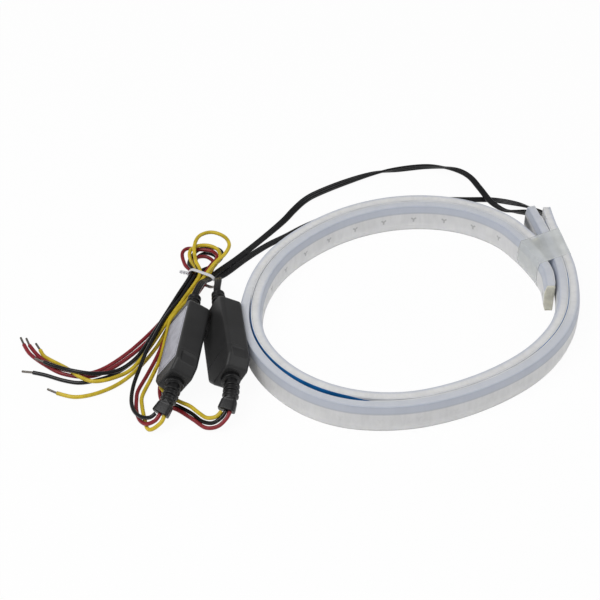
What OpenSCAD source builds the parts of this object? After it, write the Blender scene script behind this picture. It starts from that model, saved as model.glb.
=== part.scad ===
// A pair of flexible silicone light strips standing on edge, back to back, wound into one ring.
// A flat lead runs from each strip to its own control box, and three wires leave each box.
// Lengths are in millimetres. The floor is z = 0 and the viewer stands on the -Y side.

/* [Strips] */
// Length of the outer strip along its back
outer_len = 445; // [425:0.5:445.5]
// Length of the inner strip along its back
inner_len = 470; // [455:0.5:474]
// Height of a strip as it stands on its long edge
strip_w = 14; // [13:0.5:16]
// Thickness of a strip at the crown of its lit face
strip_t = 4.4; // [4.2:0.1:4.8]
// Thickness of a strip at its two long edges
edge_t = 3.5; // [3.2:0.1:3.8]
// Height of each sloping shoulder beside the crown
shoulder_h = 3.5; // [2.5:0.1:4]
// Silicone wall behind the board
back_wall = 0.6; // [0.5:0.05:0.8]
// Length of the part of a plug that reaches into the sleeve
plug_l = 6; // [4:0.5:7]
// Thickness of the flange of a plug
flange_t = 1; // [0.6:0.1:1.4]

/* [Board and LEDs] */
// Width of the flexible board
board_w = 9; // [7:0.5:9.5]
// Thickness of the flexible board
board_t = 0.4; // [0.2:0.05:0.5]
// Distance between neighbouring LEDs
led_pitch = 15.2; // [12:0.1:18]
// Distance from the lead end to the first LED
led_first = 10; // [9.5:0.5:14]
// Least distance from the last LED to the free end
led_last = 12; // [9:0.5:20]
// Length of an LED along the strip
led_l = 2.8; // [2:0.1:3.5]
// Width of an LED across the strip
led_w = 3.5; // [3.4:0.1:4]
// Height of an LED above the board
led_h = 0.8; // [0.6:0.05:0.9]
// Radius of the round window in an LED
led_window_r = 1.1; // [0.8:0.05:1.2]
// Length of a resistor
resistor_l = 2; // [1.6:0.1:2.4]
// Width of a resistor
resistor_w = 1.25; // [0.8:0.05:1.6]
// Height of a resistor
resistor_h = 0.5; // [0.3:0.05:0.6]

/* [Adhesive back] */
// Thickness of the adhesive foam
foam_t = 0.5; // [0.4:0.05:0.6]
// Thickness of the liner that covers the adhesive
liner_t = 0.1; // [0.08:0.01:0.15]
// Bare silicone above and below the adhesive
pad_margin = 1.8; // [1:0.1:2.5]
// Bare silicone at each end of the adhesive
pad_end = 8; // [5:0.5:12]
// Air between the two liners where the strips lie back to back
liner_gap = 0.1; // [0.05:0.01:0.15]

/* [Clear tape] */
// Width of the clear tape
tape_w = 18; // [12:0.5:19]
// Thickness of the clear tape
tape_t = 0.15; // [0.1:0.01:0.2]

/* [Control boxes] */
// Length of a box
box_l = 42; // [40:0.5:44]
// Height of its wide faces
box_w = 19.5; // [18:0.5:20]
// Thickness of a box
box_t = 10.4; // [10:0.1:10.8]
// Wall of the box
box_wall = 1.2; // [1:0.1:1.6]
// Radius of the long outer edges
box_r = 1.6; // [1.3:0.1:2]
// Length of the end cap on the wire side
cap_l = 11; // [8:0.5:14]
// Depth that the cap reaches into the shell
cap_lip = 3; // [2:0.5:4]
// Depth of the shallow pocket in the narrow faces of the cap
pocket_d = 0.5; // [0.3:0.05:0.7]
// Thickness of the circuit board in a box
pcb_t = 1; // [0.8:0.1:1.2]
// Length of the label
label_l = 31; // [24:0.5:32]
// Height of the label
label_w = 15.3; // [12:0.1:16]
// Thickness of the label
label_t = 0.1; // [0.08:0.01:0.2]

/* [Strain reliefs] */
// Radius of the round flange against the box
relief_flange_r = 4.1; // [3.8:0.1:4.4]
// Thickness of that flange
relief_flange_t = 2; // [1.5:0.1:2.5]
// Radius of the ribs
relief_rib_r = 3.5; // [3.3:0.1:3.8]
// Radius of the core between the ribs
relief_core_r = 2.7; // [2.5:0.1:2.9]
// Distance between neighbouring ribs
relief_pitch = 2.3; // [2:0.1:2.6]
// Number of ribs on the wire side
wire_ribs = 4; // [3:1:5]
// Number of ribs on the lead side
lead_ribs = 4; // [3:1:5]
// Length of the flared block at the tip of the wire side
flare_l = 5; // [4:0.5:6]
// Width of the flared block
flare_w = 7.4; // [6.5:0.1:8]
// Height of the flared block
flare_h = 4.6; // [4:0.1:5.5]

/* [Cords] */
// Outer diameter of a wire
wire_d = 1.7; // [1.4:0.1:1.8]
// Diameter of the twisted strands inside a wire
strand_d = 1; // [0.7:0.1:1.2]
// Length of a stripped and tinned wire end
strip_end_l = 5; // [3:0.5:7]
// Width of the flat three-core lead
lead_w = 3.2; // [3:0.1:3.4]
// Thickness of the flat lead
lead_t = 1.3; // [1.1:0.05:1.35]

/* [Twist tie] */
// Width of the tie along the bundle
tie_w = 1.6; // [1.2:0.1:2.2]
// Thickness of the tie
tie_t = 0.7; // [0.5:0.05:0.9]
// Inner width of the loop across the bundle
tie_in_w = 13.4; // [13:0.1:15]
// Inner height of the loop
tie_in_h = 6.2; // [5.8:0.1:7.5]

/* [Hidden] */

// The plan is drawn about a corner of the coil, and everything moves by this much to the origin
centre_x = 31.33;
centre_y = -11.325;

// Clearance round pieces that slide into a slot
fit = 0.1;
// Fineness of round faces
$fn = 96;
// Distance between the stations that cut a path into straight runs
station_step = 4;
// A turn below this many degrees is drawn straight
least_turn = 0.02;

mid_z = strip_w / 2;
// Cuts reach past the faces they open by this much
ends_past = 0.5;
// From the line between the two strips to the back plane of either
half_gap = foam_t + liner_t + liner_gap / 2;
pad_t = foam_t + liner_t;
// Depths of the cavity in a sleeve, counted from the back plane
slot_u0 = back_wall;
slot_u1 = slot_u0 + board_t + 2 * fit;
bay_u1 = slot_u0 + max(slot_u1 - slot_u0 + led_h + fit, lead_t + 2 * fit);
board_front = slot_u0 + fit + board_t;

// Poses are [x, y, heading in degrees]. The strips run clockwise from their lead ends.
// Where the strips lie back to back, a pose is on the line between them.
// The ring's right side keeps together: its poses and the strips' starts follow from this place.
right_x = 117.2;
RIGHT_BACK = [right_x - 5.9, 49.4, 279.5];
RIGHT_TOP = [right_x, 14.5, 280];
RIGHT_LOW = [right_x, -12.5, 262];
FRONT_RIGHT = [92, -54, 218];
FRONT_MID = [54, -73.4, 196];
LEFT_MID = [-21.3, -23, 90];
BACK_LEFT = [-5.2, 22.8, 50];
BACK_MID = [37, 51, 16];
BACK_RIGHT = [94, 39.4, 317];
// Where each strip goes its own way, a pose is on its own back plane.
OUTER_START = [right_x - 4.7, 48.8, 274];
INNER_START = [right_x - 8.3, 50, 284];
OUTER_FRONT_LEFT = [-1.3, -65.2, 140];
INNER_FRONT_LEFT = [0, -63.2, 143];

// Plane geometry
function dir(a) = [cos(a), sin(a)];
function left_of(a) = [-sin(a), cos(a)];
function at(p) = [p[0], p[1]];
function pose(v, a) = [v[0], v[1], a];
function shifted(p, d) = pose(at(p) + d * left_of(p[2]), p[2]);
function ahead(p, d) = pose(at(p) + d * dir(p[2]), p[2]);
function cross2(a, b) = a[0] * b[1] - a[1] * b[0];
function rad(a) = a * PI / 180;
function sum(v, i = 0) = i < len(v) ? v[i] + sum(v, i + 1) : 0;

// An arc is [x, y, heading, turn in degrees, length]
function arc_to(p, q) =
    let (
        w = at(q) - at(p),
        half = atan2(cross2(dir(p[2]), w), dir(p[2]) * w),
        flat = abs(2 * half) < least_turn
    )
    [p[0], p[1], p[2], flat ? 0 : 2 * half, flat ? norm(w) : norm(w) * rad(half) / sin(half)];

// The pose reached after a distance t along an arc
function on_arc(a, t) =
    let (
        turn = a[3] * t / a[4],
        chord = turn == 0 ? t : 2 * t / rad(turn) * sin(turn / 2)
    )
    pose(at(a) + chord * dir(a[2] + turn / 2), a[2] + turn);

// Two arcs that join two poses with no kink
function biarc(p, q) =
    let (
        v = at(q) - at(p),
        t1 = dir(p[2]),
        t2 = dir(q[2]),
        vt = v * (t1 + t2),
        c = 1 - t1 * t2,
        d = c < 0.000001 ? v * v / (4 * (v * t1)) : (sqrt(vt * vt + 2 * c * (v * v)) - vt) / (2 * c),
        joint = (at(p) + at(q) + d * (t1 - t2)) / 2,
        first = arc_to(p, joint)
    )
    [first, arc_to(on_arc(first, first[4]), q)];

function arcs_through(p) = [for (i = [0 : len(p) - 2]) each biarc(p[i], p[i + 1])];

// Arcs beside the given ones, to the left by d
function arcs_beside(arcs, d) =
    [for (a = arcs) let (s = shifted(a, d)) [s[0], s[1], a[2], a[3], a[4] - d * rad(a[3])]];

function path_len(arcs) = sum([for (a = arcs) a[4]]);
function start_of(arcs, i) = sum([for (k = [0 : 1 : i - 1]) arcs[k][4]]);

function pose_at(arcs, s, i = 0) =
    i == len(arcs) - 1 || s <= arcs[i][4] ? on_arc(arcs[i], s) : pose_at(arcs, s - arcs[i][4], i + 1);

// The shared stretches of the two strips
lead_arcs = arcs_through([RIGHT_BACK, RIGHT_TOP, RIGHT_LOW]);
front_arcs = arcs_through([RIGHT_TOP, RIGHT_LOW, FRONT_RIGHT, FRONT_MID]);

// A pose inside the lead ends, at a distance s along them and off from the line between them
function inside(s, off, toe) = let (p = pose_at(lead_arcs, s), q = shifted(p, -off)) pose(at(q), p[2] + toe);

one_layer = half_gap + strip_t + pad_t;
two_layers = 2 * (half_gap + strip_t);
// Air between the free ends and the lead ends inside the tape
tape_slack = 2.2;
TAIL_START = inside(19.5, two_layers + tape_slack, 23.5);
INNER_TAIL_1 = inside(24.8, two_layers + half_gap + 0.2, 17.3);
INNER_TAIL_2 = inside(41.2, one_layer + 1.5, 10.7);
INNER_TAIL_3 = inside(58.1, one_layer + 0.2, 7.7);
INNER_TAIL_4 = inside(67, one_layer + 0.2, 1);
outer_spare = 6;

back_arcs = arcs_through([LEFT_MID, BACK_LEFT, BACK_MID, BACK_RIGHT, TAIL_START]);

function strip_arcs(start, front_left, tail, d) = concat(
    biarc(start, shifted(RIGHT_TOP, d)),
    arcs_beside(front_arcs, d),
    arcs_through([shifted(FRONT_MID, d), front_left, shifted(LEFT_MID, d)]),
    arcs_beside(back_arcs, d),
    arcs_through(concat([shifted(TAIL_START, d)], tail))
);

outer_path = stations(strip_arcs(
    OUTER_START, OUTER_FRONT_LEFT, [ahead(shifted(TAIL_START, half_gap), outer_spare)], half_gap
));
inner_path = stations(strip_arcs(
    INNER_START, INNER_FRONT_LEFT, [INNER_TAIL_1, INNER_TAIL_2, INNER_TAIL_3, INNER_TAIL_4], -half_gap
));

// Which way the lit face looks, to the left or to the right of the path
outward = 1;
inward = -1;

// A path is cut into stations, [distance, place, left normal], and runs straight between them.
// All pieces of a strip use the same stations, so their faces lie flat on each other.

function station(p, s) = [s, at(p), left_of(p[2])];

function stations(arcs) = [
    for (i = [0 : len(arcs) - 1])
        let (a = arcs[i], n = ceil(a[4] / station_step), from = start_of(arcs, i))
        for (k = [0 : n - 1])
            let (t = a[4] * k / n) station(on_arc(a, t), from + t),
    let (a = arcs[len(arcs) - 1]) station(on_arc(a, a[4]), path_len(arcs)),
];

function station_at(path, s) =
    let (
        i = len([for (k = [1 : len(path) - 2]) if (path[k][0] <= s) 1]),
        t = (s - path[i][0]) / (path[i + 1][0] - path[i][0])
    )
    [s, path[i][1] + t * (path[i + 1][1] - path[i][1]), path[i][2] + t * (path[i + 1][2] - path[i][2])];

// The stations between two distances, both ends included
function stretch(path, s0, s1) = concat(
    [station_at(path, s0)],
    [for (p = path) if (p[0] > s0 + 0.2 && p[0] < s1 - 0.2) p],
    [station_at(path, s1)]
);

// The line that lies beside a path at a distance d to its left
function line_beside(path, d) = [for (p = path) p[1] + d * p[2]];

function reversed(v) = [for (i = [len(v) - 1 : -1 : 0]) v[i]];

// Building and placing along a strip. Depths u are counted from the back plane to the lit face.

// An upright wall between two depths and two heights
module wall(path, s0, s1, face, u, z) {
    run = stretch(path, s0, s1);
    translate([0, 0, z[0]])
        linear_extrude(height = z[1] - z[0])
            polygon(concat(line_beside(run, face * u[0]), reversed(line_beside(run, face * u[1]))));
}

// A section of any outline, given as [depth, height] points, carried along the path.
// A thin bent outline says how its end faces are cut into triangles.
module ribbon(path, s0, s1, face, outline, cut = []) {
    run = stretch(path, s0, s1);
    n = len(run);
    m = len(outline);
    sides = [
        for (i = [0 : n - 2], j = [0 : m - 1])
            let (a = i * m + j, b = i * m + (j + 1) % m)
            each [[a, b, b + m], [a, b + m, a + m]]
    ];
    ends = len(cut) > 0 ? cut : [[for (j = [0 : m - 1]) j]];
    caps = [for (f = ends) each [reversed(f), [for (j = f) (n - 1) * m + j]]];
    polyhedron(
        points = [for (p = run, q = outline) concat(p[1] + face * q[0] * p[2], q[1])],
        faces = [for (f = concat(sides, caps)) face > 0 ? reversed(f) : f],
        convexity = 10
    );
}

// Puts a piece at a distance s along a strip, with x towards the lit face
module on_strip(path, s, face) {
    p = station_at(path, s);
    translate(p[1])
        rotate([0, 0, atan2(face * p[2][1], face * p[2][0])])
            children();
}

module placed() {
    translate([-centre_x, -centre_y, 0])
        children();
}

module upright_box(u0, u1, length, z0, z1) {
    translate([u0, -length / 2, z0])
        cube([u1 - u0, length, z1 - z0]);
}

// Sections of a strip
sleeve_outline = [
    [0, 0],
    [edge_t, 0],
    [strip_t, shoulder_h],
    [strip_t, strip_w - shoulder_h],
    [edge_t, strip_w],
    [0, strip_w],
];

// Heights between which something of width w lies, centred on the strip
function centred(w) = [mid_z - w / 2, mid_z + w / 2];

// The slot for the board and the bay for the LEDs in front of it
module cavity(path, s0, s1, face) {
    wall(path, s0, s1, face, [slot_u0, slot_u1], centred(board_w + 2 * fit));
    wall(path, s0, s1, face, [slot_u0, bay_u1], centred(led_w + 2 * fit));
}

module lead_in_plug(path, s0, s1, face) {
    wall(path, s0, s1, face, [slot_u0 + fit, slot_u0 + fit + lead_t], centred(lead_w));
}

// Clear tape
tape_outer_s = 16;
tape_inner_s = 435;

// The edge of a strip's lit side, as points between two distances along it
function lit_edge(path, s0, s1, d) = line_beside(stretch(path, s0, s1), d);

// The ground that the tape covers, reaching past each lit edge by the given amount
module tape_ground(past) {
    polygon(concat(
        lit_edge(outer_path, tape_outer_s, tape_outer_s + tape_w, edge_t + past),
        reversed(lit_edge(inner_path, tape_inner_s, tape_inner_s + tape_w, -edge_t - past))
    ));
}

tape_outline = [
    [edge_t, 0],
    [edge_t + tape_t, 0],
    [strip_t + tape_t, shoulder_h],
    [strip_t + tape_t, strip_w - shoulder_h],
    [edge_t + tape_t, strip_w + tape_t],
    [edge_t, strip_w + tape_t],
    [edge_t, strip_w],
    [strip_t, strip_w - shoulder_h],
    [strip_t, shoulder_h],
];
tape_cut = [[0, 1, 2], [0, 2, 8], [8, 2, 3], [8, 3, 7], [7, 3, 4], [7, 4, 6], [6, 4, 5]];

module clear_tape() {
    color([0.85, 0.88, 0.9, 0.5])
        placed() {
            ribbon(outer_path, tape_outer_s, tape_outer_s + tape_w, outward, tape_outline, tape_cut);
            ribbon(inner_path, tape_inner_s, tape_inner_s + tape_w, inward, tape_outline, tape_cut);
            for (z = [0, strip_w])
                translate([0, 0, z])
                    linear_extrude(height = tape_t)
                        tape_ground(tape_t / 2);
        }
}

// Takes away the shallow dent that the tape presses into the soft underside
module above_tape() {
    difference() {
        children();
        translate([0, 0, tape_t - 1])
            linear_extrude(height = 1)
                tape_ground(1.5);
    }
}

// Pieces of one strip
module sleeve(path, length, face) {
    color([0.86, 0.87, 0.88])
        placed()
            above_tape()
                difference() {
                    ribbon(path, flange_t, length - flange_t, face, sleeve_outline);
                    cavity(path, flange_t - ends_past, length - flange_t + ends_past, face);
                }
}

module lead_plug(path, face) {
    reach = flange_t + plug_l;
    color([0.82, 0.84, 0.86])
        placed()
            difference() {
                union() {
                    ribbon(path, 0, flange_t, face, sleeve_outline);
                    cavity(path, flange_t - ends_past, reach, face);
                }
                lead_in_plug(path, -ends_past, reach + ends_past, face);
            }
}

module end_plug(path, length, face) {
    color([0.8, 0.8, 0.74])
        placed()
            above_tape() {
                ribbon(path, length - flange_t, length, face, sleeve_outline);
                cavity(path, length - flange_t - plug_l, length - flange_t + ends_past, face);
            }
}

board_gap = 0.3;
board_start = flange_t + plug_l + board_gap;

module board(path, length, face) {
    color([0.9, 0.9, 0.86])
        placed()
            wall(path, board_start, length - board_start, face,
                [slot_u0 + fit, board_front], centred(board_w));
}

// The end of the flat lead inside the plug, and its three cores on the board
core_d = 0.6;
core_l = 1.2;

module lead_tail(path, face) {
    color([0.1, 0.1, 0.11])
        placed() {
            lead_in_plug(path, 0, flange_t + plug_l, face);
            for (i = [-1 : 1])
                on_strip(path, flange_t + plug_l, face)
                    translate([board_front + core_d / 2, 0, mid_z + i * lead_w / 3])
                        rotate([face * 90, 0, 0])
                            cylinder(d = core_d, h = core_l + board_gap);
        }
}

function led_count(length) = floor((length - led_first - led_last) / led_pitch) + 1;

led_seat = 0.05;

module led() {
    difference() {
        upright_box(board_front + led_seat, board_front + led_seat + led_h - fit,
            led_l, mid_z - led_w / 2, mid_z + led_w / 2);
        translate([board_front + led_h - 0.2, 0, mid_z])
            rotate([0, 90, 0])
                cylinder(r = led_window_r, h = 1, $fn = 24);
    }
}

module leds(path, length, face) {
    color([0.95, 0.93, 0.8])
        placed()
            for (i = [0 : led_count(length) - 1])
                on_strip(path, led_first + i * led_pitch, face)
                    led();
}

module resistors(path, length, face) {
    color([0.15, 0.15, 0.16])
        placed()
            for (i = [0 : 3 : led_count(length) - 2])
                on_strip(path, led_first + (i + 0.5) * led_pitch, face)
                    upright_box(board_front + led_seat, board_front + led_seat + resistor_h,
                        resistor_l, mid_z - resistor_w / 2, mid_z + resistor_w / 2);
}

module adhesive(path, length, face) {
    color([0.75, 0.76, 0.78])
        placed()
            wall(path, pad_end, length - pad_end, face, [-foam_t, 0], [pad_margin, strip_w - pad_margin]);
}

module liner(path, length, face) {
    color([0.04, 0.28, 0.55])
        placed()
            wall(path, pad_end, length - pad_end, face,
                [-pad_t, -foam_t], [pad_margin, strip_w - pad_margin]);
}

// Control boxes

// Each box is [x, y, yaw, lean]: its middle in plan, its turn and how far it leans to the right
BOX_1 = [-49.7, -42, -6.4, 33];
BOX_2 = [-31.7, -39.5, 7.8, 30];

function box_z(b) = (box_t / 2 - box_r) * sin(b[3]) + (box_w / 2 - box_r) * cos(b[3]) + box_r;

// In a box's own frame x is its thickness, y its length towards the lead, z its width
module in_box(b) {
    placed()
        translate([b[0], b[1], box_z(b)])
            rotate([0, b[3], b[2]])
                children();
}

// A point of a box's own frame, seen in the plan frame
function from_box(b, p) =
    let (
        x = p[0] * cos(b[3]) + p[2] * sin(b[3]),
        z = p[2] * cos(b[3]) - p[0] * sin(b[3])
    )
    [b[0] + x * cos(b[2]) - p[1] * sin(b[2]), b[1] + x * sin(b[2]) + p[1] * cos(b[2]), box_z(b) + z];

chamfer_wire = [5, 3.6];
chamfer_lead = [2.4, 1.8];

// The outline of a wide face, smaller all round by the given amount
module wide_outline(inset) {
    y0 = -box_l / 2 + inset;
    y1 = box_l / 2 - inset;
    z = box_w / 2 - inset;
    cw = chamfer_wire - [1, 1] * inset * 0.5;
    cl = chamfer_lead - [1, 1] * inset * 0.5;
    polygon([
        [y0, -z + cw[1]],
        [y0 + cw[0], -z],
        [y1 - cl[0], -z],
        [y1, -z + cl[1]],
        [y1, z - cl[1]],
        [y1 - cl[0], z],
        [y0 + cw[0], z],
        [y0, z - cw[1]],
    ]);
}

// A rectangle with round corners
module round_rect(w, h, r) {
    square([w - 2 * r, h], center = true);
    square([w, h - 2 * r], center = true);
    for (x = [-1, 1], y = [-1, 1])
        translate([x * (w / 2 - r), y * (h / 2 - r)])
            circle(r = r, $fn = 32);
}

// The block inside a wide outline and a round section, smaller all round by the given amount
module box_block(inset, r) {
    intersection() {
        translate([-box_t, 0, 0])
            rotate([90, 0, 90])
                linear_extrude(height = 2 * box_t)
                    wide_outline(inset);
        translate([0, box_l, 0])
            rotate([90, 0, 0])
                linear_extrude(height = 2 * box_l)
                    round_rect(box_t - 2 * inset, box_w - 2 * inset, r);
    }
}

seam_y = -box_l / 2 + cap_l;

module slab(y0, y1) {
    translate([-box_t, y0, -box_w])
        cube([2 * box_t, y1 - y0, 2 * box_w]);
}

// The narrowing of a relief's bore in the end faces
bore_r = 2;

module box_shell(b) {
    color([0.14, 0.14, 0.15])
        in_box(b)
            difference() {
                intersection() {
                    box_block(0, box_r);
                    slab(seam_y, box_l);
                }
                box_block(box_wall, box_r - box_wall + 0.2);
                translate([0, box_l / 2 - box_wall - 1, 0])
                    rotate([-90, 0, 0])
                        cylinder(r = bore_r, h = box_wall + 2);
            }
}

module box_cap(b) {
    lip_in = box_wall + fit;
    color([0.13, 0.13, 0.14])
        in_box(b)
            difference() {
                union() {
                    intersection() {
                        box_block(0, box_r);
                        slab(-box_l, seam_y);
                    }
                    intersection() {
                        box_block(lip_in, box_r - box_wall + 0.2);
                        slab(seam_y - 1, seam_y + cap_lip);
                    }
                }
                box_block(2 * box_wall, 0.4);
                for (z = [-1, 1])
                    translate([0, -box_l / 2 + chamfer_wire[0] - 0.5, z * box_w / 2])
                        pocket();
                translate([0, -box_l / 2 - 1, 0])
                    rotate([-90, 0, 0])
                        cylinder(r = bore_r, h = 2 * box_wall + 2);
            }
}

// A shallow pocket with round ends, open towards the wire side
module pocket() {
    run = cap_l - chamfer_wire[0] - 0.6;
    half = box_t / 2 - box_r - 0.6;
    corner = 1.5;
    translate([0, 0, -pocket_d])
        linear_extrude(height = 2 * pocket_d) {
            translate([-half, -cap_l])
                square([2 * half, cap_l + run - corner]);
            translate([-half + corner, 0])
                square([2 * half - 2 * corner, run]);
            for (x = [-1, 1])
                translate([x * (half - corner), run - corner])
                    circle(r = corner, $fn = 32);
        }
}

module box_board(b) {
    width = box_w - 2 * (2 * box_wall) - 0.4;
    color([0.1, 0.35, 0.2])
        in_box(b)
            translate([-pcb_t / 2, -box_l / 2 + 2 * box_wall + 1.5, -width / 2])
                cube([pcb_t, box_l - 3 * box_wall - 3, width]);
}

module box_components(b) {
    chip = [1.6, 5, 4];
    transistor = [2.2, 6, 6];
    cap_can_r = 1.7;
    color([0.2, 0.2, 0.22])
        in_box(b)
            translate([pcb_t / 2, 0, 0]) {
                translate([0, 3, -chip[2] / 2])
                    cube(chip);
                translate([0, -8, -transistor[2] / 2])
                    cube(transistor);
                for (z = [-1, 1])
                    translate([0, 12, z * 3 - 1])
                        cube([1, 2, 1.2]);
                translate([cap_can_r, 10.5, 0])
                    rotate([-90, 0, 0])
                        translate([0, 4.5, -1])
                            cylinder(r = cap_can_r, h = 5);
            }
}

module box_label(b) {
    color([0.68, 0.68, 0.72])
        in_box(b)
            translate([-box_t / 2 - label_t, -label_l / 2 + 1.5, -label_w / 2])
                cube([label_t, label_l, label_w]);
}

// Strain reliefs

// The wire side droops: it turns by this much in all, in a plane turned from straight down to the left
droop = 34;
droop_side = 47;
relief_bend_l = wire_ribs * relief_pitch + flare_l / 2;

// A place along the drooping relief: the distance l from the flange, in its own frame
// where y runs out of the box and z is up
function droop_at(l) =
    let (r = relief_bend_l / rad(droop), a = droop * l / relief_bend_l, drop = r * (1 - cos(a)))
    [drop * sin(droop_side), r * sin(a), -drop * cos(droop_side)];

module along_droop(l) {
    a = droop * l / relief_bend_l;
    translate(droop_at(l))
        rotate([0, -droop_side, 0])
            rotate([-a, 0, 0])
                rotate([0, droop_side, 0])
                    children();
}

// The frame at the middle of a box's wire end, with y outwards and z up
module at_wire_end(b) {
    placed()
        translate(from_box(b, [0, -box_l / 2, 0]))
            rotate([0, 0, b[2] + 180])
                children();
}

module disc(r, l) {
    rotate([-90, 0, 0])
        cylinder(r = r, h = l, $fn = 48);
}

module wire_relief(b) {
    rib_l = relief_pitch * 0.55;
    color([0.12, 0.12, 0.13])
        at_wire_end(b) {
            disc(relief_flange_r, relief_flange_t);
            translate([0, relief_flange_t, 0]) {
                for (i = [0 : wire_ribs]) {
                    along_droop(i * relief_pitch)
                        translate([0, -0.3, 0])
                            disc(relief_core_r, relief_pitch + 0.4);
                    if (i > 0)
                        along_droop(i * relief_pitch)
                            disc(relief_rib_r, rib_l);
                }
                along_droop(relief_bend_l)
                    translate([-flare_w / 2, -flare_l / 2, -flare_h / 2])
                        cube([flare_w, flare_l, flare_h]);
            }
        }
}

module lead_relief(b) {
    rib_l = relief_pitch * 0.55;
    color([0.12, 0.12, 0.13])
        in_box(b)
            translate([0, box_l / 2, 0]) {
                disc(relief_flange_r, relief_flange_t);
                disc(relief_core_r, lead_relief_l);
                for (i = [1 : lead_ribs])
                    translate([0, relief_flange_t + (i - 1) * relief_pitch + 0.9, 0])
                        disc(relief_rib_r - i * 0.12, rib_l);
            }
}

lead_relief_l = relief_flange_t + lead_ribs * relief_pitch;

// Places of the cords at the reliefs, seen in the plan frame. Wire k is -1, 0 or 1.
wire_step = wire_d + 0.2;
droop_end = [
    for (l = [relief_bend_l, relief_bend_l + 1]) droop_at(l)
];
flare_dir = (droop_end[1] - droop_end[0]) / norm(droop_end[1] - droop_end[0]);
flare_tip = droop_end[0] + flare_dir * flare_l / 2 + [0, relief_flange_t, 0];

function from_wire_end(b, p) =
    let (o = from_box(b, [0, -box_l / 2, 0]))
    [o[0] - p[0] * cos(b[2]) + p[1] * sin(b[2]), o[1] - p[0] * sin(b[2]) - p[1] * cos(b[2]), o[2] + p[2]];

function wire_exit(b, k, out) = from_wire_end(b, flare_tip + flare_dir * out + [k * wire_step, 0, 0]);
function lead_exit(b, out) = from_box(b, [0, box_l / 2 + lead_relief_l + out, 0]);
function strip_entry(path, face, out) =
    let (n = path[0][2], p = path[0][1] + face * (slot_u0 + fit + lead_t / 2) * n + out * [-n[1], n[0]])
    [p[0], p[1], mid_z];

// Cords

function unit(v) = v / norm(v);
function spot(p) = [p[0], p[1], p[2]];

// Smooth points through a route, a step apart or a little less
function smooth(p, step) = [
    for (i = [0 : len(p) - 2])
        let (
            a = p[max(i - 1, 0)],
            b = p[i],
            c = p[i + 1],
            d = p[min(i + 2, len(p) - 1)],
            n = max(1, round(norm(spot(c) - spot(b)) / step))
        )
        for (k = [0 : n - 1])
            let (t = k / n)
            (2 * b + (c - a) * t + (2 * a - 5 * b + 4 * c - d) * t * t
                + (3 * b - a - 3 * c + d) * t * t * t) / 2,
    p[len(p) - 1],
];

// One tube through a route. A fourth number in a route point rolls the section by that angle.
module tube(route, section, step) {
    p = smooth(route, step);
    n = len(p);
    m = len(section);
    rings = [
        for (i = [0 : n - 1])
            let (
                t = unit(spot(p[min(i + 1, n - 1)]) - spot(p[max(i - 1, 0)])),
                side = unit(cross(t, [0, 0, 1])),
                up = cross(side, t),
                roll = len(p[i]) > 3 ? p[i][3] : 0
            )
            for (q = section)
                let (x = q[0] * cos(roll) - q[1] * sin(roll), y = q[0] * sin(roll) + q[1] * cos(roll))
                spot(p[i]) + x * side + y * up
    ];
    polyhedron(
        points = rings,
        faces = concat(
            [[for (j = [0 : m - 1]) j]],
            [for (i = [0 : n - 2], j = [0 : m - 1])
                let (a = i * m + j, b = i * m + (j + 1) % m)
                each [[a, a + m, b + m], [a, b + m, b]]],
            [[for (j = [m - 1 : -1 : 0]) (n - 1) * m + j]]
        ),
        convexity = 10
    );
}

wire_section = [for (a = [22.5 : 45 : 359]) wire_d / 2 * dir(a)];
flat_end = lead_t / 2;
lead_section = [
    for (s = [1, -1], a = [-67.5 : 45 : 67.5])
        s * ([lead_w / 2 - flat_end, 0] + flat_end * dir(a) / cos(22.5))
];

wire_ring_step = 4.6;
lead_ring_step = 5.5;

// Routes by hand, on the floor and round the ring: x, y, z and roll
LEAD_1 = [
    [-43.6, 2, 8.61, 0], [-40.7, 8.6, 4.85, 0], [-37.1, 16.1, 2.66, 0], [-28.1, 28, 1.07, 0],
    [-17, 42, 1.05, 0], [-8, 54, 1.03, 0], [-3, 62, 1.42, 20], [2, 69, 1.86, 55], [8, 74.5, 1.71, 90],
    [21, 83, 1.71, 90], [36, 90.5, 1.7, 90], [49, 93.5, 1.7, 90], [61, 95.5, 1.9, 70], [70, 94.5, 2, 30],
    [77, 90, 3.6, 0], [82, 83, 5, 0], [86, 75, 4.6, 0], [90.5, 66.5, 3.4, 0], [96, 60, 3.4, 20],
    [101.5, 57, 4.6, 50],
];
LEAD_2 = [
    [-36.4, 5, 7.99, 0], [-37.8, 10.4, 3.36, 0], [-33.4, 16.9, 1.19, 0], [-24.9, 27, 1, 0],
    [-15.5, 37, 1.01, 0], [-6.5, 46, 1.01, 0], [2, 54.5, 1.01, 0], [12, 62, 1.01, 0], [25, 68, 1, 0],
    [40, 71.5, 1, 0], [55, 73, 1, 0], [68, 72.5, 1, 0], [80, 71, 1, 0], [91, 70.5, 1, 0],
    [100, 68, 1.4, 0], [107, 63.5, 2.6, 30],
];
WIRE_1_BLACK = [
    [-63.2, -74.3, 3.26], [-68.2, -70.1, 2.28], [-70.3, -63.5, 1.84], [-70.1, -55.5, 1.64],
    [-68.1, -46.4, 2.73], [-65.7, -38.3, 4.91], [-62.8, -29.2, 5.2], [-58.5, -16.5, 5.26],
    [-52.7, -3.6, 4.93], [-46.5, 11.5, 5.36], [-40.1, 18.5, 3.97], [-36, 24.4, 3.57], [-36.3, 30, 3.29],
    [-41.1, 32.6, 3.19], [-46.3, 31.1, 3.14], [-49.5, 25.7, 3.56], [-50.4, 19.4, 4.56],
    [-48.7, 12.3, 5.59], [-54.4, -2.6, 4.88], [-59.7, -15.6, 3.93], [-65.6, -30.1, 2.91],
    [-70, -40.1, 2.82], [-77, -47.5, 2.74], [-86, -50.2, 3.38], [-95, -49.8, 4.4], [-104, -45.6, 3.3],
    [-109, -42.9, 3.1],
];
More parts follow.
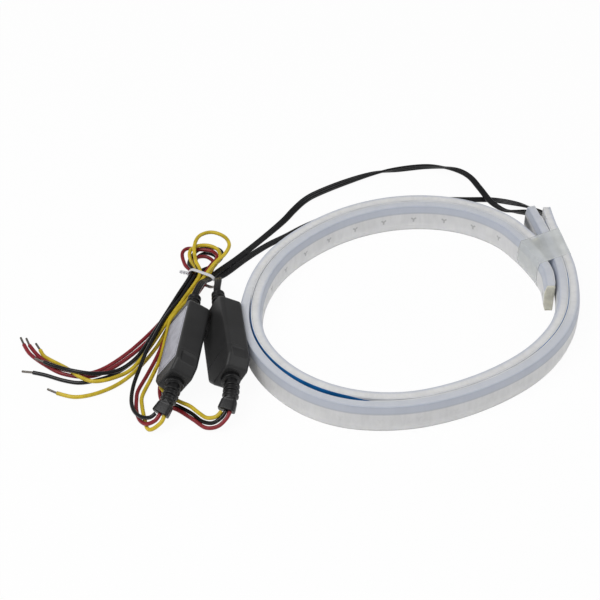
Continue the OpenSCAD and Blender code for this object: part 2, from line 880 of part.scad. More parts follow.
WIRE_1_RED = [
    [-62.1, -76.4, 2.16], [-66.2, -71.8, 1], [-68.1, -65.7, 1.09], [-68, -58.2, 1.07], [-65, -49.2, 1.06],
    [-61.6, -38.2, 1], [-58.4, -26.3, 1.73], [-56.5, -17.9, 2.86], [-50.9, -5.1, 3.42],
    [-44.4, 9.6, 4.57], [-40.4, 17.1, 5.65], [-37.7, 22.8, 5.51], [-40.1, 27.5, 5.21], [-46.1, 29, 4.98],
    [-51.6, 29.9, 4.75], [-53.8, 26.6, 4.41], [-52.3, 20.2, 3.46], [-48.6, 12.6, 3.19],
    [-54.1, -2.5, 2.86], [-59.9, -15.7, 2.25], [-65.5, -27.1, 1.21], [-74, -38.6, 1.15],
    [-83, -47.1, 1.1], [-91, -49.9, 1.06], [-101, -47.9, 1.03], [-109, -42.5, 1], [-116, -36, 1],
    [-119.5, -30, 1],
];
WIRE_1_YELLOW = [
    [-58.3, -77.2, 2.15], [-62.5, -73.9, 1], [-65.6, -68.7, 1.09], [-66, -61.4, 1.18], [-63, -51.1, 1.35],
    [-59.9, -39.3, 1.6], [-58, -27.3, 3.39], [-56.3, -18.8, 5.33], [-49.8, -6.1, 5.45],
    [-42.9, 9.1, 5.97], [-38.5, 16.4, 7.6], [-34.2, 21, 8.9], [-32.2, 26.5, 9.84], [-34.6, 32.1, 10.03],
    [-40.5, 35.5, 9.86], [-46, 33.3, 9.54], [-48.1, 26.9, 8.86], [-47.2, 18.3, 7.68], [-45, 10, 6.34],
    [-51.3, -5, 5.41], [-57.6, -18, 4.27], [-64, -32.3, 3.01], [-71.1, -45.2, 1.83], [-78, -51.1, 2.1],
    [-86, -54.2, 2.67], [-92.4, -51.9, 2.62], [-99, -46.5, 2.8],
    [-106.3, -40.4, 1.5], [-110, -37, 1], [-112, -33.5, 1],
];
WIRE_2_BLACK = [
    [-37, -67.1, 2.16], [-43.5, -68.8, 1.31], [-50, -67.8, 1.22], [-55.3, -64.3, 1.2],
    [-57.3, -57.3, 1.22], [-56.1, -47.5, 1.28], [-54.8, -36.9, 1.3], [-54.3, -27.3, 1.67],
    [-54.4, -19.5, 2.33], [-51, -5.3, 1.43], [-44.6, 10.3, 1.91], [-40.6, 19.4, 1], [-38.1, 24.5, 1],
    [-39, 29.1, 1], [-43.4, 31.1, 1], [-47.1, 28, 1], [-47.9, 22, 1.47], [-45.7, 11.8, 3.68],
    [-52.4, -3.4, 2.99], [-58.4, -16.5, 2.12], [-64, -29.5, 1.16], [-70.5, -39.5, 1.08],
    [-78.5, -48, 1.03], [-86, -51.8, 1], [-93, -53.4, 1], [-100, -52, 1], [-108, -48.8, 1],
    [-113.5, -47.2, 1],
];
WIRE_2_RED = [
    [-34.8, -69.3, 1.7], [-42.9, -70.4, 1.19], [-50.5, -69.5, 1], [-56.8, -65.7, 1], [-59, -57.6, 1],
    [-58, -47, 1], [-56.4, -35.2, 1.09], [-55.8, -24.8, 1], [-52.5, -16.1, 1], [-49.1, -4.9, 1.01],
    [-42.6, 10.3, 1.55], [-39.9, 18.1, 2.25], [-39.3, 22.8, 2.55], [-42.9, 26.5, 2.71],
    [-47.5, 25.6, 2.79], [-49.9, 21.1, 2.08], [-48.2, 12.7, 1.5], [-54.2, -2.3, 1], [-60.4, -14.2, 1],
    [-67.7, -26.3, 1], [-75.6, -36.9, 1], [-84.1, -45.1, 1], [-91.5, -48, 1], [-98, -46.2, 1],
    [-104.5, -43.8, 1], [-112, -37.5, 1], [-117, -30.5, 1],
];
WIRE_2_YELLOW = [
    [-39.2, -67.3, 3.15], [-44.1, -67.8, 3.73], [-50.1, -66.8, 3.44], [-54.6, -63.2, 3.24],
    [-58.6, -57, 2.7], [-58.7, -47.4, 2.95], [-57.1, -36.3, 2.85], [-56.1, -26.2, 2.76],
    [-55.2, -18.8, 3.81], [-49.5, -6.1, 3.76], [-42.6, 9, 4.24], [-38.8, 16.5, 5.83], [-36.2, 21.2, 6.99],
    [-37.8, 26.7, 7.17], [-42.9, 29.4, 7.19], [-48.4, 27.8, 7.26], [-50.2, 22.8, 6.51],
    [-46.7, 11.3, 2.02], [-52.6, -3.6, 1.07], [-57.1, -17, 1], [-61.7, -30.9, 1], [-68.5, -44, 1],
    [-76, -53.5, 1], [-85, -59.5, 1], [-94, -61.8, 1], [-102, -59.5, 1],
];
// Where the tips of the tinned ends lie
TIP_1_BLACK = [-113, -40.9, 3.1];
TIP_1_RED = [-121.5, -25.5, 1];
TIP_1_YELLOW = [-114.5, -29.17, 1];
TIP_2_BLACK = [-118.5, -46.5, 1];
TIP_2_RED = [-119, -26, 1];
TIP_2_YELLOW = [-106.5, -57, 1];

module lead(b, route, path, face) {
    whole = concat(
        [concat(lead_exit(b, 0), 0), concat(lead_exit(b, 3.5), 0)],
        route,
        [concat(strip_entry(path, face, 3.5), 90), concat(strip_entry(path, face, 0), 90)]
    );
    color([0.1, 0.1, 0.11])
        placed()
            tube(whole, lead_section, lead_ring_step);
}

module wire(b, k, route, tone) {
    color(tone)
        placed()
            tube(concat([wire_exit(b, k, 0), wire_exit(b, k, 3)], route), wire_section, wire_ring_step);
}

// The bare strands that stick out of the end of a wire, towards their tip
module tinned_end(route, tip) {
    from = route[len(route) - 1];
    d = unit(tip - from);
    color([0.45, 0.43, 0.42])
        placed()
            translate(from)
                rotate([0, 90, atan2(d[1], d[0])])
                    cylinder(d = strand_d, h = strip_end_l, $fn = 24);
}

black = [0.09, 0.09, 0.1];
red = [0.55, 0.1, 0.12];
yellow = [0.78, 0.66, 0.1];

// Twist tie: a flat loop round the bundle with its two ends twisted together
tie_at = [-44, 10.3];
tie_heading = 62;

module stadium(w, h) {
    square([w - h, h], center = true);
    for (x = [-1, 1])
        translate([x * (w - h) / 2, 0])
            circle(d = h);
}

module twist_tie() {
    tail_l = 4.5;
    color([0.88, 0.88, 1])
        placed()
            translate([tie_at[0], tie_at[1], tie_in_h / 2 + tie_t])
                rotate([0, 0, tie_heading - 90]) {
                    rotate([90, 0, 0])
                        linear_extrude(height = tie_w, center = true)
                            difference() {
                                stadium(tie_in_w + 2 * tie_t, tie_in_h + 2 * tie_t);
                                stadium(tie_in_w, tie_in_h);
                            }
                    for (turn = [0, 1])
                        translate([-tie_in_w / 2 - tie_t * 0.6, 0, 0])
                            rotate([turn * 16 - 8, -100, 0])
                                rotate([0, 0, turn * 60])
                                    translate([-tie_t / 2, -tie_w / 2, 0])
                                        cube([tie_t, tie_w, tail_l]);
                }
}

sleeve(outer_path, outer_len, outward);  // outer_sleeve
board(outer_path, outer_len, outward);  // outer_board
leds(outer_path, outer_len, outward);  // outer_leds
resistors(outer_path, outer_len, outward);  // outer_resistors
adhesive(outer_path, outer_len, outward);  // outer_adhesive
liner(outer_path, outer_len, outward);  // outer_liner
lead_plug(outer_path, outward);  // outer_lead_plug
end_plug(outer_path, outer_len, outward);  // outer_end_plug
lead_tail(outer_path, outward);  // outer_lead_tail
sleeve(inner_path, inner_len, inward);  // inner_sleeve
board(inner_path, inner_len, inward);  // inner_board
leds(inner_path, inner_len, inward);  // inner_leds
resistors(inner_path, inner_len, inward);  // inner_resistors
adhesive(inner_path, inner_len, inward);  // inner_adhesive
liner(inner_path, inner_len, inward);  // inner_liner
lead_plug(inner_path, inward);  // inner_lead_plug
end_plug(inner_path, inner_len, inward);  // inner_end_plug
lead_tail(inner_path, inward);  // inner_lead_tail
clear_tape();
box_shell(BOX_1);  // box_1_shell
box_cap(BOX_1);  // box_1_cap
box_board(BOX_1);  // box_1_board
box_components(BOX_1);  // box_1_components
lead_relief(BOX_1);  // box_1_lead_relief
wire_relief(BOX_1);  // box_1_wire_relief
box_label(BOX_1);  // box_1_label
box_shell(BOX_2);  // box_2_shell
box_cap(BOX_2);  // box_2_cap
box_board(BOX_2);  // box_2_board
box_components(BOX_2);  // box_2_components
lead_relief(BOX_2);  // box_2_lead_relief
wire_relief(BOX_2);  // box_2_wire_relief
lead(BOX_1, LEAD_1, inner_path, inward);  // lead_1
lead(BOX_2, LEAD_2, outer_path, outward);  // lead_2
wire(BOX_1, 1, WIRE_1_BLACK, black);  // wire_1_black
wire(BOX_1, 0, WIRE_1_RED, red);  // wire_1_red
wire(BOX_1, -1, WIRE_1_YELLOW, yellow);  // wire_1_yellow
wire(BOX_2, 0, WIRE_2_BLACK, black);  // wire_2_black
wire(BOX_2, -1, WIRE_2_RED, red);  // wire_2_red
wire(BOX_2, 1, WIRE_2_YELLOW, yellow);  // wire_2_yellow
tinned_end(WIRE_1_BLACK, TIP_1_BLACK);  // tinned_end_1_black
tinned_end(WIRE_1_RED, TIP_1_RED);  // tinned_end_1_red
tinned_end(WIRE_1_YELLOW, TIP_1_YELLOW);  // tinned_end_1_yellow
tinned_end(WIRE_2_BLACK, TIP_2_BLACK);  // tinned_end_2_black
tinned_end(WIRE_2_RED, TIP_2_RED);  // tinned_end_2_red
tinned_end(WIRE_2_YELLOW, TIP_2_YELLOW);  // tinned_end_2_yellow
twist_tie();
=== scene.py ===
"""A pair of flexible light strips wound in one ring, with their leads, control boxes and wires."""

import math

import bpy
import numpy as np
from bpy.props import FloatProperty, FloatVectorProperty, IntProperty, PointerProperty
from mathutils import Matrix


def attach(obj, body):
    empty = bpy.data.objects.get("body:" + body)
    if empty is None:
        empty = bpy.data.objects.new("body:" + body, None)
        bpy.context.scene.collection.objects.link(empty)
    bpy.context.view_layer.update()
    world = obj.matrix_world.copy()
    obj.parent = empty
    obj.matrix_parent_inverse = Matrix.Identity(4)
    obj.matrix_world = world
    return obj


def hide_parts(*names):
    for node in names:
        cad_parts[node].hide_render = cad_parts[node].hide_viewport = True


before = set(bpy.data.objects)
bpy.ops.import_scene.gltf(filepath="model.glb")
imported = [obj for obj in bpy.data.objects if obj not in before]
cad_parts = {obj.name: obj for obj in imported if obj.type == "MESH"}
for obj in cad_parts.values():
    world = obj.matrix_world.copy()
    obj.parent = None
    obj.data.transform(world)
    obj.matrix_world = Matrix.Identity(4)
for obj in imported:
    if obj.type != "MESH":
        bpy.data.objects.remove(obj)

bl_info = {
    "name": "Wound light strips",
    "version": (1, 0, 0),
    "blender": (4, 5, 0),
    "location": "3D View > Sidebar > Light Strips",
    "description": "Builds two silicone light strips, their control boxes, leads, wires, tape and tie",
    "category": "Mesh",
}

BODY = "root"
# The plan of the strips and cords is drawn in millimetres about this point
PLAN_CENTRE = np.array([31.33, -11.325, 0.0])


# Settings


def length(label, words, default, low, high):
    """A size in metres, shown in the scene's unit."""
    return FloatProperty(name=label, description=words, default=default, min=low, max=high,
                         unit="LENGTH", precision=5)


def colour(label, words, default):
    """A colour without alpha, in linear light."""
    return FloatVectorProperty(name=label, description=words, default=default, size=3, min=0.0, max=1.0,
                               subtype="COLOR")


def power(label, words, default):
    """The power of a lamp in watts."""
    return FloatProperty(name=label, description=words, default=default, min=0.0, max=60.0, unit="POWER")


class StripSettings(bpy.types.PropertyGroup):
    """The sizes and colours of the strips"""

    height: length("Height", "Height of a strip as it stands on its edge", 0.014, 0.013, 0.016)
    thickness: length("Thickness", "Thickness at the crown of the lit face", 0.0044, 0.0042, 0.0048)
    edge: length("Edge", "Thickness at the two long edges", 0.0035, 0.0032, 0.0038)
    shoulder: length("Shoulder", "Height of the slope beside the crown", 0.0035, 0.0025, 0.004)
    outer_length: length("Outer length", "Length of the outer strip", 0.445, 0.425, 0.4455)
    inner_length: length("Inner length", "Length of the inner strip", 0.470, 0.455, 0.474)
    first_light: length("First light", "Distance from the lead end to a light", 0.010, 0.0095, 0.014)
    light_pitch: length("Light pitch", "Distance between neighbouring lights", 0.0152, 0.012, 0.018)
    pad_end: length("Adhesive end", "Distance from a strip's end to its adhesive", 0.008, 0.006, 0.012)
    silicone: colour("Silicone", "Colour of the milky wall", (0.76, 0.76, 0.765))
    # the tint is also painted on the top edge as see-through light, and darkened in the folds as painted
    # shade
    tint: colour("Tint", "Cool colour of the sloping shoulder", (0.50, 0.54, 0.63))
    end_glue: colour("End glue", "Colour of the plug at the free end", (0.63, 0.62, 0.53))
    liner: colour("Liner", "Colour of the film on the adhesive", (0.008, 0.15, 0.42))


class TapeSettings(bpy.types.PropertyGroup):
    """The size, places and colour of the clear tape"""

    width: length("Width", "Width of the clear tape", 0.018, 0.012, 0.019)
    film: length("Film", "Thickness of the clear tape", 0.00014, 0.0001, 0.0002)
    outer_at: length("Place on the outer strip", "Distance from its lead end", 0.016, 0.0, 0.1)
    inner_at: length("Place on the inner strip", "Distance from its lead end", 0.435, 0.4, 0.46)
    colour: colour("Colour", "Colour of the film", (0.84, 0.865, 0.86))


class BoxSettings(bpy.types.PropertyGroup):
    """The sizes and colours of the control boxes and their reliefs"""

    length: length("Length", "Length of a control box", 0.042, 0.040, 0.044)
    width: length("Width", "Height of its wide faces", 0.0195, 0.018, 0.020)
    thickness: length("Thickness", "Thickness of a box", 0.0104, 0.010, 0.0108)
    corner: length("Corner", "Radius of the long edges", 0.0016, 0.0013, 0.002)
    end_round: length("End rounding", "Radius round the end faces", 0.0009, 0.0003, 0.0015)
    cap: length("Cap", "Length of the cap on the wire side", 0.011, 0.008, 0.014)
    pocket: length("Pocket", "Depth of the pocket in the cap's narrow faces", 0.0006, 0.0003, 0.0007)
    colour: colour("Colour", "Colour of the moulded box", (0.024, 0.024, 0.0245))
    rubber: colour("Relief", "Colour of the strain reliefs", (0.004, 0.004, 0.0046))
    label: colour("Label", "Colour of the blank label", (0.42, 0.42, 0.48))


class CordSettings(bpy.types.PropertyGroup):
    """The sizes and colours of the leads and wires"""

    wire: length("Wire", "Outer diameter of a wire", 0.0017, 0.0014, 0.0018)
    strands: length("Strands", "Diameter of the bare end", 0.001, 0.0007, 0.0012)
    bare: length("Bare end", "Length of the bare end", 0.005, 0.003, 0.007)
    lead_width: length("Lead width", "Width of the flat lead", 0.0032, 0.003, 0.0034)
    lead_height: length("Lead height", "Thickness of the flat lead", 0.0013, 0.0011, 0.00135)
    sides: IntProperty(name="Sides", description="Sides of a wire's round", default=16, min=8, max=32)
    black: colour("Black", "Colour of the black sheath", (0.005, 0.005, 0.006))
    red: colour("Red", "Colour of the red sheath", (0.25, 0.016, 0.024))
    yellow: colour("Yellow", "Colour of the yellow sheath", (0.62, 0.46, 0.025))
    metal: colour("Bare metal", "Colour of the tinned strands", (0.10, 0.09, 0.08))


class TieSettings(bpy.types.PropertyGroup):
    """The sizes and colour of the twist tie"""

    width: length("Width", "Width of the tie along the bundle", 0.0016, 0.0012, 0.0022)
    thickness: length("Thickness", "Thickness of the tie", 0.0007, 0.0005, 0.0009)
    inner_width: length("Loop width", "Inner width of the loop", 0.0134, 0.013, 0.015)
    inner_height: length("Loop height", "Inner height of the loop", 0.0062, 0.0058, 0.0075)
    tail: length("Tail", "Length of the twisted tail", 0.0045, 0.003, 0.006)
    colour: colour("Colour", "Colour of the coating", (0.70, 0.70, 0.73))


class StageSettings(bpy.types.PropertyGroup):
    """The colour of the floor and the strength of the lights"""

    floor: colour("Floor", "Colour of the floor", (0.95, 0.95, 0.95))
    sky: FloatProperty(name="Sky", description="Strength of the even light", default=0.42, min=0.0, max=2.0)
    key: power("Key", "Power of the main lamp", 5.2)
    fill: power("Fill", "Power of the side lamp", 1.8)


SETTINGS = {
    "strips": StripSettings,
    "tape": TapeSettings,
    "boxes": BoxSettings,
    "cords": CordSettings,
    "tie": TieSettings,
    "stage": StageSettings,
}


class LightStripSettings(bpy.types.PropertyGroup):
    """All groups of settings"""

    strips: PointerProperty(type=StripSettings)
    tape: PointerProperty(type=TapeSettings)
    boxes: PointerProperty(type=BoxSettings)
    cords: PointerProperty(type=CordSettings)
    tie: PointerProperty(type=TieSettings)
    stage: PointerProperty(type=StageSettings)


def mm(value):
    """Metres to millimetres: times a thousand."""
    return value * 1000.0


# Meshes from arrays


def to_row(points):
    """Plan millimetres to metres in the row frame: less the plan's centre, divided by a thousand."""
    return (np.asarray(points, float)[..., :3] - PLAN_CENTRE) / 1000.0


def ring_faces(rings, around, closed_along=False):
    """Quads of a grid of rings: each joins a point to the next one round and to the next ring."""
    i = np.arange(rings if closed_along else rings - 1)[:, None]
    j = np.arange(around)[None, :]
    a = i * around + j
    b = i * around + (j + 1) % around
    up = ((i + 1) % rings) * around
    c = up + (j + 1) % around
    d = up + j
    return np.stack([a, b, c, d], axis=-1).reshape(-1, 4)


def signed_volume(verts, faces):
    """Six times the volume inside: the sum of a . (b x c) over the triangles, negative when inside out."""
    total = 0.0
    for part in faces:
        for k in range(1, part.shape[1] - 1):
            a, b, c = verts[part[:, 0]], verts[part[:, k]], verts[part[:, k + 1]]
            total += float(np.einsum("ij,ij->i", a, np.cross(b, c)).sum())
    return total


def outward(verts, faces):
    """The faces of one closed skin, turned round where its volume is negative: they then point outwards."""
    if signed_volume(verts - verts.mean(axis=0), faces) < 0:
        return [part[:, ::-1] for part in faces]
    return faces


def add_piece(name, verts, faces, material, replaces=(), place=None, facing=None):
    """A closed mesh that rides on the body, with its faces pointing outwards.

    Its points may carry a place, three numbers that its material reads, and how far they face the front.
    """
    faces = outward(verts, faces)
    mesh = bpy.data.meshes.new(name)
    mesh.from_pydata(verts.tolist(), [], [f for part in faces for f in part.tolist()])
    mesh.shade_smooth()
    if place is not None:
        mesh.attributes.new("place", "FLOAT_VECTOR", "POINT")
        mesh.attributes["place"].data.foreach_set("vector", np.asarray(place, np.float32).ravel())
    if facing is not None:
        mesh.attributes.new("facing", "FLOAT", "POINT")
        mesh.attributes["facing"].data.foreach_set("value", np.asarray(facing, np.float32))
    mesh.materials.append(material)
    piece = bpy.data.objects.new(name, mesh)
    bpy.context.scene.collection.objects.link(piece)
    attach(piece, BODY)
    if replaces:
        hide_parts(*replaces)
    return piece


def closed_loft(rings):
    """Rings joined along, with a fan from the middle of the first and of the last ring."""
    n, m = rings.shape[:2]
    verts = np.concatenate([rings.reshape(-1, 3), rings[:1].mean(axis=1), rings[-1:].mean(axis=1)])
    j = np.arange(m)
    k = (j + 1) % m
    first = np.stack([np.full(m, n * m), k, j], axis=-1)
    last = np.stack([np.full(m, n * m + 1), (n - 1) * m + j, (n - 1) * m + k], axis=-1)
    return verts, [ring_faces(n, m), first, last]


def rounded_loop(corners, radii, spacing, arc_points=7):
    """A loop of straight runs whose corners are quadratic curves, from one tangent point to the other.

    The tangent points lie the radius over the tangent of the half angle away from the corner.
    """
    corners = np.asarray(corners, float)
    before, after = np.roll(corners, 1, axis=0), np.roll(corners, -1, axis=0)
    to_before = (before - corners) / np.linalg.norm(before - corners, axis=1)[:, None]
    to_after = (after - corners) / np.linalg.norm(after - corners, axis=1)[:, None]
    half = np.arccos(np.clip((to_before * to_after).sum(axis=1), -1, 1)) / 2
    reach = (np.asarray(radii) / np.tan(half))[:, None]
    start, end = corners + reach * to_before, corners + reach * to_after
    t = np.linspace(0, 1, arc_points)[:, None]
    loop = []
    for k in range(len(corners)):
        loop.append((1 - t) ** 2 * start[k] + 2 * t * (1 - t) * corners[k] + t ** 2 * end[k])
        gap = start[(k + 1) % len(corners)] - end[k]
        steps = max(1, int(np.linalg.norm(gap) / spacing))
        loop.append(end[k] + gap * (np.arange(1, steps) / steps)[:, None])
    return np.concatenate(loop)


def shrunk(loop, amount):
    """The loop moved inwards by an amount: each point along the normal to the chord of its neighbours."""
    along = np.roll(loop, -1, axis=0) - np.roll(loop, 1, axis=0)
    normal = np.stack([-along[:, 1], along[:, 0]], axis=1) / np.linalg.norm(along, axis=1)[:, None]
    area = 0.5 * np.sum(loop[:, 0] * np.roll(loop[:, 1], -1) - loop[:, 1] * np.roll(loop[:, 0], -1))
    return loop + normal * amount * (1 if area > 0 else -1)


def smoothstep(x, low, high):
    """A soft step from 0 to 1 between two limits: three times t squared less twice t cubed."""
    t = np.clip((x - low) / (high - low), 0, 1)
    return t * t * (3 - 2 * t)


def placed(x, y, z, at, degrees):
    """Points turned about the upright by an angle and moved to a place in the plan."""
    c, s = math.cos(math.radians(degrees)), math.sin(math.radians(degrees))
    return np.stack([at[0] + x * c - y * s, at[1] + x * s + y * c, z], axis=-1)


# The plan of the two strips: poses [x, y, heading in degrees] joined by pairs of arcs

RIGHT_BACK = (111.3, 49.4, 279.5)
RIGHT_TOP = (117.2, 14.5, 280.0)
RIGHT_LOW = (117.2, -12.5, 262.0)
FRONT_RIGHT = (92.0, -54.0, 218.0)
FRONT_MID = (54.0, -73.4, 196.0)
LEFT_MID = (-21.3, -23.0, 90.0)
BACK_LEFT = (-5.2, 22.8, 50.0)
BACK_MID = (37.0, 51.0, 16.0)
BACK_RIGHT = (94.0, 39.4, 317.0)
OUTER_START = (112.5, 48.8, 274.0)
INNER_START = (108.9, 50.0, 284.0)
OUTER_FRONT_LEFT = (-1.3, -65.2, 140.0)
INNER_FRONT_LEFT = (0.0, -63.2, 143.0)
# Half the gap between the two backs, the adhesive and liner that fill it, and the outer strip's length past
# its last pose
HALF_GAP = 0.65
PAD = 0.6
OUTER_SPARE = 6.0
# Distance between the stations of a path and of a strip
STATION = 1.2
# Distances along the strips between which the liner's edge shows: at the right side and the front left
RIGHT_SPAN = (50.0, 98.0)
FRONT_LEFT_SPAN = (192.0, 262.0)
SPAN_FADE = 14.0
# How far the foam and the liner lie below the top edge: the liner where it shows and where it doesn't, the
# foam, and the outer strip's foam where it leaves the inner strip's liner in view
LINER_SHOWN = 0.25
LINER_HIDDEN = 1.7
FOAM_MARGIN = 0.12
LOWERED = 2.3
# The foam goes on this close to the free end, under the tape
FOAM_END = 3.0
# The side of the ring that counts as its front, a little to the left. The painted see-through light on the
# top edges follows it
FRONT = np.array([-0.25, -0.97])


def heading(degrees):
    """The unit vector of a heading: its cosine and its sine."""
    a = math.radians(degrees)
    return np.array([math.cos(a), math.sin(a)])


def shifted(pose, left):
    """A pose moved to its left, square to its heading."""
    d = heading(pose[2])
    return (pose[0] - left * d[1], pose[1] + left * d[0], pose[2])


def ahead(pose, distance):
    """A pose moved on along its heading."""
    d = heading(pose[2]) * distance
    return (pose[0] + d[0], pose[1] + d[1], pose[2])


def arc_to(pose, point):
    """The arc that leaves a pose and ends at a point: it turns by twice the angle of its chord.

    An arc is its pose, its turn in degrees and its length, which is the chord times the half turn over the
    sine of the half turn.
    """
    w = np.asarray(point[:2]) - pose[:2]
    d = heading(pose[2])
    half = math.atan2(d[0] * w[1] - d[1] * w[0], float(d @ w))
    chord = float(np.hypot(*w))
    if abs(half) < 0.0002:
        return (*pose, 0.0, chord)
    return (*pose, math.degrees(2 * half), chord * half / math.sin(half))


def on_arc(arc, t):
    """The pose at a distance along an arc: on by the chord, two radii times the sine of half the turn."""
    turn = arc[3] * t / arc[4]
    chord = t if turn == 0 else 2 * t / math.radians(turn) * math.sin(math.radians(turn / 2))
    d = heading(arc[2] + turn / 2) * chord
    return (arc[0] + d[0], arc[1] + d[1], arc[2] + turn)


def biarc(p, q):
    """Two arcs that join two poses with no kink, with equal tangent lengths.

    The tangent length d solves the square equation that makes the two tangents' ends 2 d apart.
    """
    v = np.asarray(q[:2]) - p[:2]
    t1, t2 = heading(p[2]), heading(q[2])
    vt, c, vv = float(v @ (t1 + t2)), 1 - float(t1 @ t2), float(v @ v)
    d = vv / (4 * float(v @ t1)) if c < 1e-6 else (math.sqrt(vt * vt + 2 * c * vv) - vt) / (2 * c)
    joint = (np.asarray(p[:2]) + q[:2] + d * (t1 - t2)) / 2
    first = arc_to(p, joint)
    return [first, arc_to(on_arc(first, first[4]), q)]


def arcs_through(poses):
    """The pairs of arcs between neighbouring poses, in one list."""
    return [arc for p, q in zip(poses[:-1], poses[1:]) for arc in biarc(p, q)]


def arcs_beside(arcs, left):
    """The arcs moved to their left: the same turns, each shorter by the shift times its turn."""
    return [(*shifted(a[:3], left), a[3], a[4] - left * math.radians(a[3])) for a in arcs]


def sampled(arcs):
    """Stations along a chain of arcs: distance, place and left normal, as three arrays."""
    rows, start = [], 0.0
    for arc in arcs:
        n = math.ceil(arc[4] / STATION)
        stops = list(np.arange(n) * arc[4] / n) + ([arc[4]] if arc is arcs[-1] else [])
        for t in stops:
            p = on_arc(arc, t)
            d = heading(p[2])
            rows.append((start + t, p[0], p[1], -d[1], d[0]))
        start += arc[4]
    rows = np.array(rows)
    return rows[:, 0], rows[:, 1:3], rows[:, 3:5]


def strip_paths(thickness):
    """The back lines of the outer and the inner strip, which lie back to back but for their ends.

    Both follow the arcs of one middle line, half a gap to its left and right. The free ends lie inside the
    first stretch of the ring, beside the outer strip's lead end.
    """
    lead = arcs_through([RIGHT_BACK, RIGHT_TOP, RIGHT_LOW])

    def inside(s, off, toe):
        """The pose at a distance along the first stretch, moved inwards and turned by a few degrees."""
        k = 0
        while k < len(lead) - 1 and s > lead[k][4]:
            s, k = s - lead[k][4], k + 1
        p = shifted(on_arc(lead[k], s), -off)
        return (p[0], p[1], p[2] + toe)

    one = HALF_GAP + thickness + PAD
    two = 2 * (HALF_GAP + thickness)
    tail = inside(19.5, two + 2.2, 23.5)
    inner_tail = [inside(24.8, two + HALF_GAP + 0.2, 17.3), inside(41.2, one + 1.5, 10.7),
                  inside(58.1, one + 0.2, 7.7), inside(67.0, one + 0.2, 1.0)]
    front = arcs_through([RIGHT_TOP, RIGHT_LOW, FRONT_RIGHT, FRONT_MID])
    back = arcs_through([LEFT_MID, BACK_LEFT, BACK_MID, BACK_RIGHT, tail])

    def chain(start, front_left, ends, d):
        """One strip's arcs: its start, the ring moved by d to its left, and its free end."""
        return (biarc(start, shifted(RIGHT_TOP, d)) + arcs_beside(front, d)
                + arcs_through([shifted(FRONT_MID, d), front_left, shifted(LEFT_MID, d)])
                + arcs_beside(back, d) + arcs_through([shifted(tail, d), *ends]))

    outer = chain(OUTER_START, OUTER_FRONT_LEFT, [ahead(shifted(tail, HALF_GAP), OUTER_SPARE)], HALF_GAP)
    inner = chain(INNER_START, INNER_FRONT_LEFT, inner_tail, -HALF_GAP)
    return sampled(outer), sampled(inner)


def at_distance(path, s):
    """Place and left normal at given distances: straight between the stations, the normal made unit."""
    place = np.stack([np.interp(s, path[0], path[1][:, k]) for k in (0, 1)], axis=-1)
    normal = np.stack([np.interp(s, path[0], path[2][:, k]) for k in (0, 1)], axis=-1)
    return place, normal / np.linalg.norm(normal, axis=-1, keepdims=True)


def strip_outline(s):
    """The section of a strip, depth from its back against height.

    Straight runs with rounded corners: a flat back, two edges, two sloping shoulders and a full crown.
    """
    w, t, e, h = mm(s.height), mm(s.thickness), mm(s.edge), mm(s.shoulder)
    corners = [(0, 0), (e, 0), (t, h), (t, w - h), (e, w), (0, w)]
    return rounded_loop(corners, (0.3, 0.5, 2.2, 2.2, 0.5, 0.3), 0.9)


def carried(path, face, distances, outlines):
    """Outlines of [depth, height] carried along a path: place + face * depth * normal, at its height."""
    place, normal = at_distance(path, distances)
    depth, height = outlines[..., 0], outlines[..., 1]
    plan = place[:, None, :] + face * depth[..., None] * normal[:, None, :]
    return np.concatenate([plan, height[..., None]], axis=-1)


# Materials


def shade(rgb, factor):
    """A colour made darker or paler: times a factor, at most 1."""
    return tuple(min(1.0, c * factor) for c in rgb)


class Tree:
    """The nodes of a material or of the sky."""

    def __init__(self, owner):
        owner.use_nodes = True
        self.tree = owner.node_tree
        self.tree.nodes.clear()

    def add(self, kind, settings=None, **values):
        """A node with its settings, and a value or a link for each named socket."""
        node = self.tree.nodes.new(kind)
        for key, value in (settings or {}).items():
            setattr(node, key, value)
        for key, value in values.items():
            self.put(node, key.replace("_", " "), value)
        return node

    def put(self, node, key, value):
        """Give a socket, by its name or number, a value or a link from another node."""
        socket = node.inputs[int(key)] if key.isdigit() else node.inputs[key]
        if isinstance(value, bpy.types.NodeSocket):
            self.tree.links.new(value, socket)
        elif socket.type == "RGBA" and len(value) == 3:
            socket.default_value = (*value, 1.0)
        else:
            socket.default_value = value

    def math(self, operation, a, b=0.0):
        """One operation on two values."""
        node = self.add("ShaderNodeMath", {"operation": operation})
        self.put(node, "0", a)
        self.put(node, "1", b)
        return node.outputs[0]


